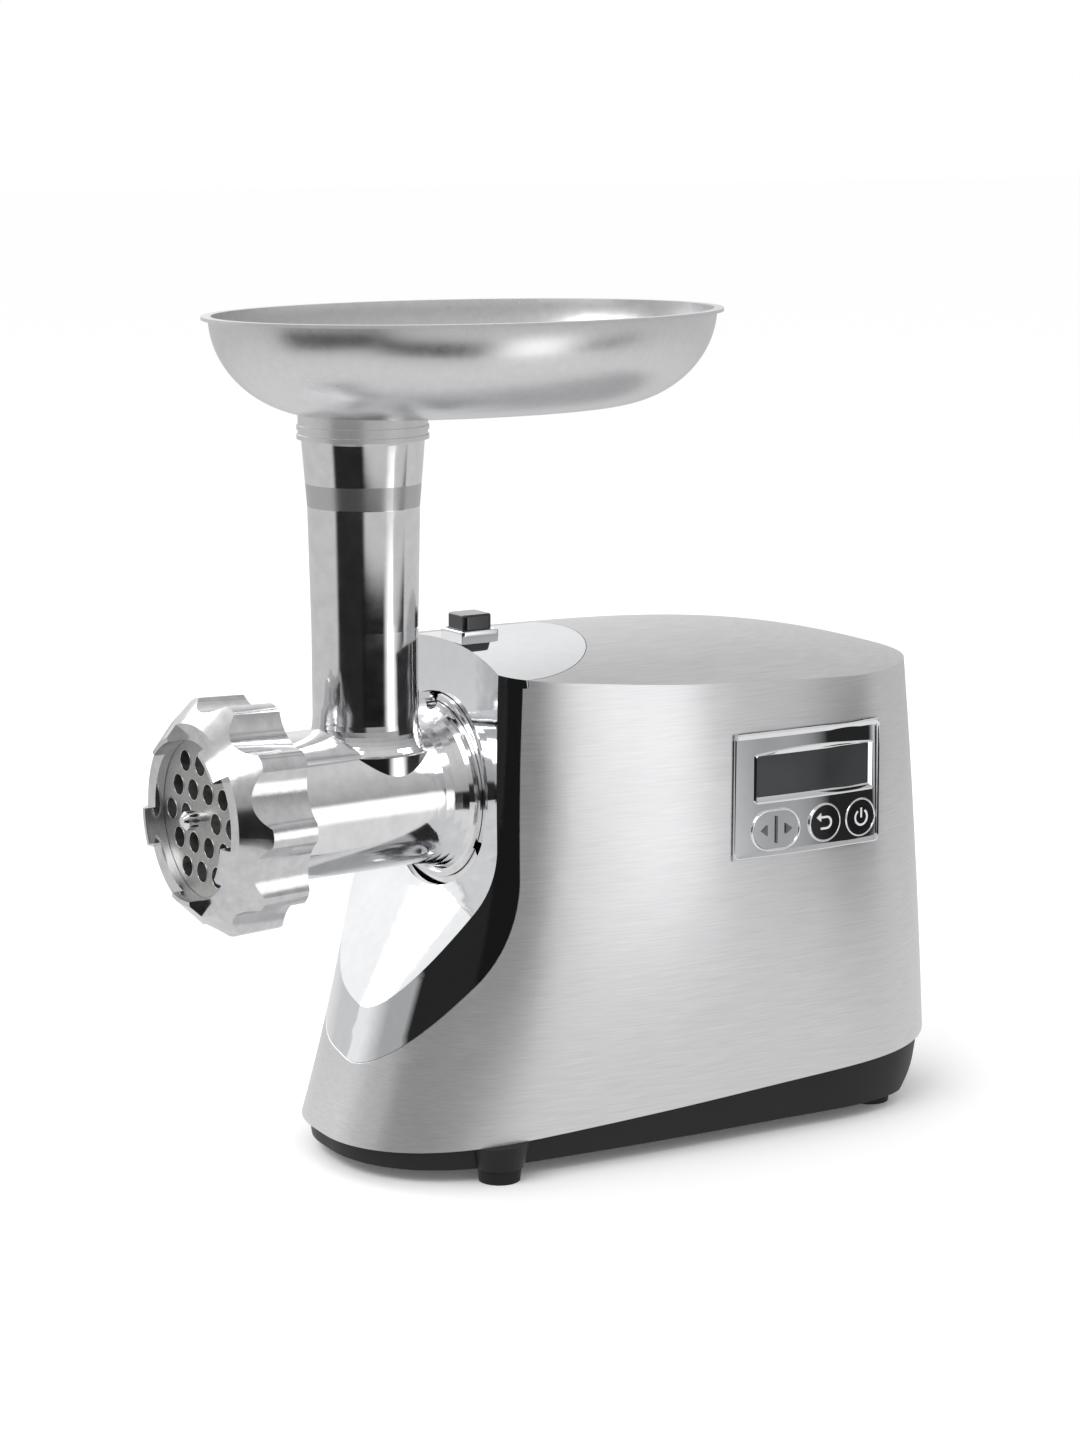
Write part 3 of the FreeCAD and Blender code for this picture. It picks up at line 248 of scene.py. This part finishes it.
def ringsToFaces(loops, closed=True):
    # joins loops of equal length, one after the other
    verts = [p for loop in loops for p in loop]
    count = len(loops[0])
    faces = []
    last = len(loops) if closed else len(loops) - 1
    for i in range(last):
        a = i * count
        b = ((i + 1) % len(loops)) * count
        for j in range(count):
            k = (j + 1) % count
            faces.append((a + j, a + k, b + k, b + j))
    return verts, faces


# control panel

panel = {"rimTall": 0.55 * mm, "rimWide": 2.3 * mm, "rimSide": 1.1 * mm, "corner": 2.2 * mm,
         "archRise": 1.6 * mm, "frameWide": 1.5 * mm, "frameCorner": 0.8 * mm, "glassCorner": 0.4 * mm,
         "ringWide": 0.45 * mm}


def fitFace(node):
    # smooth surface through the outer face of a plate on the side wall: X from (Y, Z)
    points = np.array([v.co for v in nodes[node].data.vertices])

    def terms(p):
        y, z = p[:, 1] - 0.07, p[:, 2] - 0.138
        return np.stack([np.ones_like(y), y, z, y * y, y * z], 1)

    keep = points[points[:, 0] > points[:, 0].max() - 4.0 * mm]
    for trim in (1.0 * mm, 0.3 * mm, 0.1 * mm):
        weights = np.linalg.lstsq(terms(keep), keep[:, 0], rcond=None)[0]
        over = keep[:, 0] - terms(keep) @ weights
        keep = keep[over > np.median(over) - trim]
    weights = np.linalg.lstsq(terms(keep), keep[:, 0], rcond=None)[0]
    return lambda y, z: float((terms(np.array([[0, y, z]])) @ weights)[0])


faceX = fitFace("control_bezel")
bezelLow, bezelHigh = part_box("control_bezel")
print("panel face", faceX(0.07, 0.138), bezelLow, bezelHigh)


def roundedLoop(y0, y1, z0, z1, radius, steps=8, arch=0.0):
    # a rounded rectangle in the panel's plane; arch lifts the middle of its upper side
    corners = [(y1 - radius, z1 - radius, 0), (y0 + radius, z1 - radius, 90), (y0 + radius, z0 + radius, 180),
               (y1 - radius, z0 + radius, 270)]
    loop = []
    for cy, cz, start in corners:
        for i in range(steps + 1):
            a = math.radians(start + 90 * i / steps)
            loop.append((cy + radius * math.cos(a), cz + radius * math.sin(a)))
        if start in (0, 180):
            toY = y0 + radius if start == 0 else y1 - radius
            edgeZ = z1 if start == 0 else z0
            for i in range(1, 24):
                loop.append((cy + (toY - cy) * i / 24, edgeZ))
    middle = (y0 + y1) / 2
    half = (y1 - y0) / 2
    return [(y, z + arch * (1 - ((y - middle) / half) ** 2) if z > (z0 + z1) / 2 else z) for y, z in loop]


def liftLoop(loop, lift):
    return [(faceX(y, z) + lift, y, z) for y, z in loop]


def panelRim():
    s = panel
    y0, y1, z0, z1 = bezelLow.y, bezelHigh.y, bezelLow.z, bezelHigh.z
    loops = []
    for inset, lift in ((0, -1.2 * mm), (0, -0.1 * mm), (0.35 * mm, 0.3 * mm), (0.7 * mm, s["rimTall"])):
        loops.append(liftLoop(roundedLoop(y0 + inset, y1 - inset, z0 + inset, z1 - inset, s["corner"]), lift))
    side, tall = s["rimSide"], s["rimWide"]
    inside = roundedLoop(y0 + side, y1 - side, z0 + tall, z1 - tall, s["corner"] * 0.4)
    loops += [liftLoop(inside, 0.05 * mm), liftLoop(inside, -0.6 * mm)]
    verts, faces = ringsToFaces(loops)
    return makePiece("panelRim", verts, faces, "housing", mirrorChrome, "bezel_chrome")


windowLow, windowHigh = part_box("display_window")


def displayFrame():
    s = panel
    y0, y1, z0, z1 = windowLow.y, windowHigh.y, windowLow.z, windowHigh.z
    wide = s["frameWide"]
    loops = []
    for out, lift in ((0.2, -1.0), (0.2, 0.12), (-0.1, 0.35), (-0.5, 0.3)):
        out *= mm
        loop = roundedLoop(y0 - wide * 0.4 - out, y1 + wide - out, z0 - wide + out, z1 + out,
                           s["frameCorner"], arch=s["archRise"])
        loops.append(liftLoop(loop, lift * mm))
    for inset, lift in ((0.35, -0.35), (0.5, -0.46), (0.5, -1.2)):
        inset *= mm
        loop = roundedLoop(y0 + inset, y1 - inset, z0 + inset, z1 - inset, s["glassCorner"])
        loops.append(liftLoop(loop, lift * mm))
    verts, faces = ringsToFaces(loops)
    return makePiece("displayFrame", verts, faces, "housing", mirrorChrome, "bezel_chrome")


panelRim()
displayFrame()


def keyCentre(node):
    low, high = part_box(node)
    return (low.y + high.y) / 2, (low.z + high.z) / 2, (high.y - low.y) / 2, (high.z - low.z) / 2


def keyRingTree(name):
    # a rounded ring of metal about each key: named sizes, one ring swept along each stored loop of edges
    tree = bpy.data.node_groups.new(name, "GeometryNodeTree")
    face = tree.interface
    face.new_socket("Geometry", in_out="INPUT", socket_type="NodeSocketGeometry")
    for label in ("Ring Width", "Ring Height"):
        face.new_socket(label, in_out="INPUT", socket_type="NodeSocketFloat")
    face.new_socket("Finish", in_out="INPUT", socket_type="NodeSocketMaterial")
    face.new_socket("Geometry", in_out="OUTPUT", socket_type="NodeSocketGeometry")
    add = tree.nodes.new
    link = tree.links.new
    source, result = add("NodeGroupInput"), add("NodeGroupOutput")
    toCurve = add("GeometryNodeMeshToCurve")
    profile = add("GeometryNodeCurvePrimitiveCircle")
    profile.inputs["Resolution"].default_value = 10
    profile.inputs["Radius"].default_value = 1.0
    shape = add("GeometryNodeTransform")
    size = add("ShaderNodeCombineXYZ")
    sweep = add("GeometryNodeCurveToMesh")
    real = add("GeometryNodeRealizeInstances")
    paint = add("GeometryNodeSetMaterial")
    link(source.outputs["Geometry"], toCurve.inputs["Mesh"])
    link(source.outputs["Ring Width"], size.inputs["X"])
    link(source.outputs["Ring Height"], size.inputs["Y"])
    size.inputs["Z"].default_value = 1.0
    link(profile.outputs["Curve"], shape.inputs["Geometry"])
    link(size.outputs["Vector"], shape.inputs["Scale"])
    link(toCurve.outputs["Curve"], sweep.inputs["Curve"])
    link(shape.outputs["Geometry"], sweep.inputs["Profile Curve"])
    link(sweep.outputs["Mesh"], real.inputs["Geometry"])
    link(real.outputs["Geometry"], paint.inputs["Geometry"])
    link(source.outputs["Finish"], paint.inputs["Material"])
    link(paint.outputs["Geometry"], result.inputs["Geometry"])
    return tree


def growNodes(name, verts, edges, tree, values, body):
    # runs a node tree on a bare mesh and keeps the outcome as a plain mesh
    mesh = bpy.data.meshes.new(name + "Seed")
    mesh.from_pydata([Vector(v) for v in verts], edges, [])
    seed = bpy.data.objects.new(name + "Seed", mesh)
    bpy.context.scene.collection.objects.link(seed)
    mod = seed.modifiers.new("grow", "NODES")
    mod.node_group = tree
    for item in tree.interface.items_tree:
        if item.item_type == "SOCKET" and item.in_out == "INPUT" and item.name in values:
            mod[item.identifier] = values[item.name]
    bpy.context.view_layer.update()
    graph = bpy.context.evaluated_depsgraph_get()
    grown = seed.evaluated_get(graph)
    made = bpy.data.meshes.new_from_object(grown, preserve_all_data_layers=True, depsgraph=graph)
    seed.modifiers.remove(mod)
    bpy.data.objects.remove(seed)
    made.name = name
    made.shade_smooth()
    piece = bpy.data.objects.new(name, made)
    bpy.context.scene.collection.objects.link(piece)
    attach(piece, body)
    return piece


ringPath = []
ringEdges = []
for node in ("rocker_button", "return_button", "power_button"):
    cy, cz, halfY, halfZ = keyCentre(node)
    flat = halfY - halfZ
    steps = 96
    first = len(ringPath)
    for i in range(steps):
        a = 2 * math.pi * i / steps
        reach = halfZ + 0.45 * mm
        y = cy + reach * math.cos(a) + (flat if math.cos(a) > 0 else -flat)
        z = cz + reach * math.sin(a)
        ringPath.append((faceX(y, z) + 0.02 * mm, y, z))
        ringEdges.append((first + i, first + (i + 1) % steps))
growNodes("keyRings", ringPath, ringEdges, keyRingTree("keyRings"),
          {"Ring Width": panel["ringWide"], "Ring Height": panel["ringWide"], "Finish": mirrorChrome},
          "housing")


# raised marks on the keys: flat strokes with square ends, and flat arrow heads
iconMetal = plastic("iconMetal", (0.62, 0.62, 0.63), (0.7, 0.7, 0.71), 0.3, 0.4)
iconGrey = plastic("iconGrey", (0.07, 0.07, 0.075), (0.1, 0.1, 0.105), 0.4, 0.5)


def stroke(points, half, closed=False):
    # a ribbon of constant width along points (Y, Z), standing on the keys' curved faces
    low, high = icons["keyLift"] - icons["sink"], icons["keyLift"] + icons["rise"]
    count = len(points)
    left, right = [], []
    for i, (y, z) in enumerate(points):
        before = points[i - 1] if i or closed else points[i]
        after = points[(i + 1) % count] if i < count - 1 or closed else points[i]
        dy, dz = after[0] - before[0], after[1] - before[1]
        size = math.hypot(dy, dz) or 1.0
        left.append((y - dz / size * half, z + dy / size * half))
        right.append((y + dz / size * half, z - dy / size * half))
    verts = []
    for (ly, lz), (ry, rz) in zip(left, right):
        left0, right0 = faceX(ly, lz), faceX(ry, rz)
        verts += [(left0 + low, ly, lz), (left0 + high, ly, lz)]
        verts += [(right0 + high, ry, rz), (right0 + low, ry, rz)]
    faces = []
    spans = count if closed else count - 1
    for i in range(spans):
        a, b = 4 * i, 4 * ((i + 1) % count)
        for j in range(4):
            k = (j + 1) % 4
            faces.append((a + j, a + k, b + k, b + j))
    if not closed:
        faces += [(0, 1, 2, 3), (4 * count - 1, 4 * count - 2, 4 * count - 3, 4 * count - 4)]
    return verts, faces


def prism(outline):
    count = len(outline)
    verts = [(faceX(y, z) + icons["keyLift"] - icons["sink"], y, z) for y, z in outline]
    verts += [(faceX(y, z) + icons["keyLift"] + icons["rise"], y, z) for y, z in outline]
    faces = [tuple(range(count)), tuple(range(count, 2 * count))]
    faces += [(i, (i + 1) % count, count + (i + 1) % count, count + i) for i in range(count)]
    return verts, faces


def joinParts(parts):
    verts, faces = [], []
    for v, f in parts:
        base = len(verts)
        verts += v
        faces += [tuple(i + base for i in face) for face in f]
    return verts, faces


def arcPoints(cy, cz, radius, start, end, steps=24):
    turns = [math.radians(start + (end - start) * i / steps) for i in range(steps + 1)]
    return [(cy + radius * math.cos(a), cz + radius * math.sin(a)) for a in turns]


icons = {"stroke": 0.42 * mm, "rise": 0.12 * mm, "sink": 0.3 * mm, "keyLift": 0.5 * mm}


def powerIcon():
    cy, cz, halfY, halfZ = keyCentre("power_button")
    radius = halfZ * 0.45
    parts = [stroke(arcPoints(cy, cz, radius, 125, 415), icons["stroke"]),
             stroke([(cy, cz - 0.1 * mm), (cy, cz + radius * 1.25)], icons["stroke"])]
    makePiece("powerIcon", *joinParts(parts), "power_key", iconMetal, "key_metal", smooth=False)


def returnIcon():
    cy, cz, halfY, halfZ = keyCentre("return_button")
    r = halfZ * 0.33
    path = [(cy - r * 1.3, cz + r)] + arcPoints(cy + r * 0.2, cz, r, 90, -90) + [(cy - r * 1.0, cz - r)]
    tip = (cy - r * 1.9, cz + r)
    head = [tip, (cy - r * 1.0, cz + r * 1.75), (cy - r * 1.0, cz + r * 0.25)]
    makePiece("returnIcon", *joinParts([stroke(path, icons["stroke"]), prism(head)]),
              "return_key", iconMetal, "key_metal", smooth=False)


def rockerIcons():
    cy, cz, halfY, halfZ = keyCentre("rocker_button")
    parts = [stroke([(cy, cz - halfZ * 0.72), (cy, cz + halfZ * 0.72)], icons["stroke"] * 0.8)]
    wide, high = 2.8 * mm, 2.1 * mm
    for side in (-1, 1):
        tip = cy + side * (halfY * 0.68)
        back = tip - side * wide
        parts.append(prism([(tip, cz), (back, cz + high), (back, cz - high)]))
    makePiece("rockerIcons", *joinParts(parts), "rocker", iconGrey, "key_metal", smooth=False)


powerIcon()
returnIcon()
rockerIcons()
print("panel made")


# release button's collar and the plate's hole rims

collar = {"gap": 0.4 * mm, "wide": 1.5 * mm, "above": 0.7 * mm, "below": 2.4 * mm, "corner": 1.2 * mm,
          "edge": 0.3 * mm}


def buttonCollar():
    # a polished frame the button slides in, round its foot
    low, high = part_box("release_button")
    half = (high.x - low.x) / 2
    midY = (low.y + high.y) / 2
    capLow = min(v.co.z for v in nodes["release_button"].data.vertices)
    inner = half + collar["gap"]
    outer = inner + collar["wide"]
    top, bottom = capLow + collar["above"], capLow - collar["below"]
    loops = []
    for reach, z in ((outer, bottom), (outer, top - collar["edge"]), (outer - collar["edge"], top),
                     (inner + collar["edge"], top), (inner, top - collar["edge"]), (inner, bottom)):
        loop = roundedLoop(midY - reach, midY + reach, -reach, reach, collar["corner"])
        loops.append([(x, y, z) for y, x in loop])
    verts, faces = ringsToFaces(loops)
    makePiece("buttonCollar", verts, faces, "housing", mirrorChrome, "mirror_chrome")


plateHoles = {"pitch": 11.4 * mm, "radius": 4.0 * mm, "edgeRoom": 6.5 * mm, "rim": 0.22 * mm, "steps": 40}


def plateRims():
    # a fine bright edge round every hole of the grinding plate
    low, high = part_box("grinding_plate")
    midX, front = (low.x + high.x) / 2, low.y
    radius = (high.x - low.x) / 2
    midZ = high.z - radius
    s = plateHoles
    path, edges = [], []
    for row in range(-2, 3):
        for col in range(-3, 4):
            x = (col + 0.5 * (row % 2)) * s["pitch"]
            z = row * s["pitch"] * math.sqrt(3) / 2
            if not mm < math.hypot(x, z) < radius - s["edgeRoom"]:
                continue
            first = len(path)
            for i in range(s["steps"]):
                a = 2 * math.pi * i / s["steps"]
                edgeX = x + s["radius"] * math.cos(a)
                edgeZ = z + s["radius"] * math.sin(a)
                path.append((midX + edgeX, front, midZ + edgeZ))
                edges.append((first + i, first + (i + 1) % s["steps"]))
    growNodes("plateHoleRims", path, edges, keyRingTree("plateRims"),
              {"Ring Width": s["rim"], "Ring Height": s["rim"], "Finish": groundSteel},
              "plate_carrier")


buttonCollar()
plateRims()
print("collar and plate rims made")


# studio

studio = {"floorSize": 30.0, "floorGlow": 0.06, "wallLevel": 0.5, "ceilingLevel": 0.85,
          "windowLevel": 0.6, "brightSide": (-1.0, -0.1, 0.1),
          "floorNear": 0.8, "floorFar": 0.62, "nearReach": 0.3, "farReach": 1.1}
view = {"at": (1.00637, -0.68077, 0.39135), "aim": (-0.8162, 0.5470, -0.1858), "lens": 79.57, "sensor": 36}
# cards that only reflections see: side cards stand across X, the ring card stands round the feed tube
sideCards = {
    "bandCard": {"x": 0.36, "y": (-0.36, 0.0), "z": (-0.01, 0.17), "level": 0.01, "fade": 0.1},
    "brightCard": {"x": 0.362, "y": (0.005, 0.2), "z": (-0.01, 0.2), "level": 1.7, "fade": 0.2},
    "panelCard": {"x": 0.37, "y": (0.2, 0.6), "z": (-0.01, 0.13), "level": 0.02, "fade": 0.2},
}
tubeCard = {"centre": (0, -0.0846), "radius": 0.6, "span": (-92, -27), "z": (-0.03, 0.24),
            "level": 0.02, "fade": 0.12}
lamps = {"keyLight": {"at": (0.4, -1.2, 1.4), "size": (1.2, 0.8), "power": 12},
         "fillLight": {"at": (-1.2, -0.2, 1.0), "size": (1.0, 1.0), "power": 6}}
lampAim = (0, 0, 0.1)


def floorAndWorld():
    mesh = bpy.data.meshes.new("floor")
    half = studio["floorSize"] / 2
    corners = [(-half, -half, 0), (half, -half, 0), (half, half, 0), (-half, half, 0)]
    mesh.from_pydata(corners, [], [(0, 1, 2, 3)])
    floor = bpy.data.objects.new("floor", mesh)
    bpy.context.scene.collection.objects.link(floor)
    mat, tree, shader, coords = newMaterial("paleFloor")
    shader.inputs["Base Color"].default_value = (0.93, 0.93, 0.93, 1)
    shader.inputs["Roughness"].default_value = 0.9
    shader.inputs["Specular IOR Level"].default_value = 0.0
    shader.inputs["Emission Color"].default_value = (1, 1, 1, 1)
    shader.inputs["Emission Strength"].default_value = studio["floorGlow"]
    # reflections see a floor that dims away from the machine
    out = [n for n in tree.nodes if n.type == "OUTPUT_MATERIAL"][0]
    reach = tree.nodes.new("ShaderNodeVectorMath")
    reach.operation = "LENGTH"
    tree.links.new(coords.outputs["Object"], reach.inputs[0])
    level = ramp(tree, reach.outputs["Value"], studio["floorNear"], studio["floorFar"],
                 studio["nearReach"], studio["farReach"])
    glow = tree.nodes.new("ShaderNodeEmission")
    tree.links.new(level, glow.inputs["Strength"])
    path = tree.nodes.new("ShaderNodeLightPath")
    pick = tree.nodes.new("ShaderNodeMixShader")
    tree.links.new(path.outputs["Is Glossy Ray"], pick.inputs["Fac"])
    tree.links.new(shader.outputs["BSDF"], pick.inputs[1])
    tree.links.new(glow.outputs["Emission"], pick.inputs[2])
    tree.links.new(pick.outputs["Shader"], out.inputs["Surface"])
    finish(floor, mat)
    world = bpy.data.worlds.new("studio")
    bpy.context.scene.world = world
    world.use_nodes = True
    tree = world.node_tree
    tree.nodes.clear()
    out = tree.nodes.new("ShaderNodeOutputWorld")
    even = tree.nodes.new("ShaderNodeBackground")
    even.inputs["Color"].default_value = (1, 1, 1, 1)
    even.inputs["Strength"].default_value = 1.0
    seen = tree.nodes.new("ShaderNodeBackground")
    coords = tree.nodes.new("ShaderNodeTexCoord")
    split = tree.nodes.new("ShaderNodeSeparateXYZ")
    tree.links.new(coords.outputs["Generated"], split.inputs["Vector"])
    # reflections see a grey room with a lighter ceiling and a bright wall on the far side
    ceiling = ramp(tree, split.outputs["Z"], studio["wallLevel"], studio["ceilingLevel"], 0.15, 0.75)
    side = tree.nodes.new("ShaderNodeVectorMath")
    side.operation = "DOT_PRODUCT"
    side.inputs[1].default_value = studio["brightSide"]
    tree.links.new(coords.outputs["Generated"], side.inputs[0])
    window = ramp(tree, side.outputs["Value"], 0.0, studio["windowLevel"], 0.5, 0.8)
    total = tree.nodes.new("ShaderNodeMath")
    total.operation = "ADD"
    tree.links.new(ceiling, total.inputs[0])
    tree.links.new(window, total.inputs[1])
    tree.links.new(total.outputs["Value"], seen.inputs["Strength"])
    path = tree.nodes.new("ShaderNodeLightPath")
    pick = tree.nodes.new("ShaderNodeMixShader")
    tree.links.new(path.outputs["Is Glossy Ray"], pick.inputs["Fac"])
    tree.links.new(even.outputs["Background"], pick.inputs[1])
    tree.links.new(seen.outputs["Background"], pick.inputs[2])
    tree.links.new(pick.outputs["Shader"], out.inputs["Surface"])


def glossCard(name, corners, level, fade):
    # a card only reflections see, with soft ends
    mesh = bpy.data.meshes.new(name)
    mesh.from_pydata([Vector(c) for c in corners], [], [(0, 1, 2, 3)])
    layer = mesh.uv_layers.new(name="card")
    for i, uv in enumerate(((0, 0), (1, 0), (1, 1), (0, 1))):
        layer.data[i].uv = uv
    card = bpy.data.objects.new(name, mesh)
    bpy.context.scene.collection.objects.link(card)
    mat, tree, shader, coords = newMaterial(name)
    tree.nodes.remove(shader)
    out = [n for n in tree.nodes if n.type == "OUTPUT_MATERIAL"][0]
    glow = tree.nodes.new("ShaderNodeEmission")
    glow.inputs["Color"].default_value = (level, level, level, 1)
    clear = tree.nodes.new("ShaderNodeBsdfTransparent")
    mix = tree.nodes.new("ShaderNodeMixShader")
    split = tree.nodes.new("ShaderNodeSeparateXYZ")
    tree.links.new(coords.outputs["UV"], split.inputs["Vector"])
    edges = []
    for axisName in ("X", "Y"):
        rise = ramp(tree, split.outputs[axisName], 0, 1, 0.0, fade)
        fall = ramp(tree, split.outputs[axisName], 1, 0, 1 - fade, 1.0)
        times = tree.nodes.new("ShaderNodeMath")
        times.operation = "MULTIPLY"
        tree.links.new(rise, times.inputs[0])
        tree.links.new(fall, times.inputs[1])
        edges.append(times.outputs["Value"])
    cover = tree.nodes.new("ShaderNodeMath")
    cover.operation = "MULTIPLY"
    tree.links.new(edges[0], cover.inputs[0])
    tree.links.new(edges[1], cover.inputs[1])
    tree.links.new(cover.outputs["Value"], mix.inputs["Fac"])
    tree.links.new(clear.outputs["BSDF"], mix.inputs[1])
    tree.links.new(glow.outputs["Emission"], mix.inputs[2])
    tree.links.new(mix.outputs["Shader"], out.inputs["Surface"])
    finish(card, mat)
    card.visible_camera = False
    card.visible_diffuse = False
    card.visible_shadow = False
    card.visible_transmission = False
    return card


def sideCard(name):
    s = sideCards[name]
    x = s["x"]
    (y0, y1), (z0, z1) = s["y"], s["z"]
    return glossCard(name, [(x, y0, z0), (x, y1, z0), (x, y1, z1), (x, y0, z1)], s["level"], s["fade"])


def ringCard(name, s):
    ends = []
    for turn in s["span"]:
        a = math.radians(turn)
        ends.append((s["centre"][0] + s["radius"] * math.cos(a), s["centre"][1] + s["radius"] * math.sin(a)))
    z0, z1 = s["z"]
    corners = [(*ends[0], z0), (*ends[1], z0), (*ends[1], z1), (*ends[0], z1)]
    return glossCard(name, corners, s["level"], s["fade"])


def areaLight(name):
    s = lamps[name]
    data = bpy.data.lights.new(name, "AREA")
    data.shape = "RECTANGLE"
    data.size, data.size_y = s["size"]
    data.energy = s["power"]
    lamp = bpy.data.objects.new(name, data)
    bpy.context.scene.collection.objects.link(lamp)
    lamp.location = s["at"]
    lamp.rotation_mode = "QUATERNION"
    lamp.rotation_quaternion = (Vector(lampAim) - Vector(s["at"])).to_track_quat("-Z", "Y")


floorAndWorld()
for name in sideCards:
    sideCard(name)
ringCard("tubeCard", tubeCard)
for name in lamps:
    areaLight(name)

cameraData = bpy.data.cameras.new("camera")
cameraData.sensor_width = view["sensor"]
cameraData.lens = view["lens"]
camera = bpy.data.objects.new("camera", cameraData)
bpy.context.scene.collection.objects.link(camera)
camera.location = view["at"]
camera.rotation_mode = "QUATERNION"
camera.rotation_quaternion = Vector(view["aim"]).to_track_quat("-Z", "Y")
bpy.context.scene.camera = camera
bpy.context.scene.view_settings.view_transform = "Standard"
print("studio set")
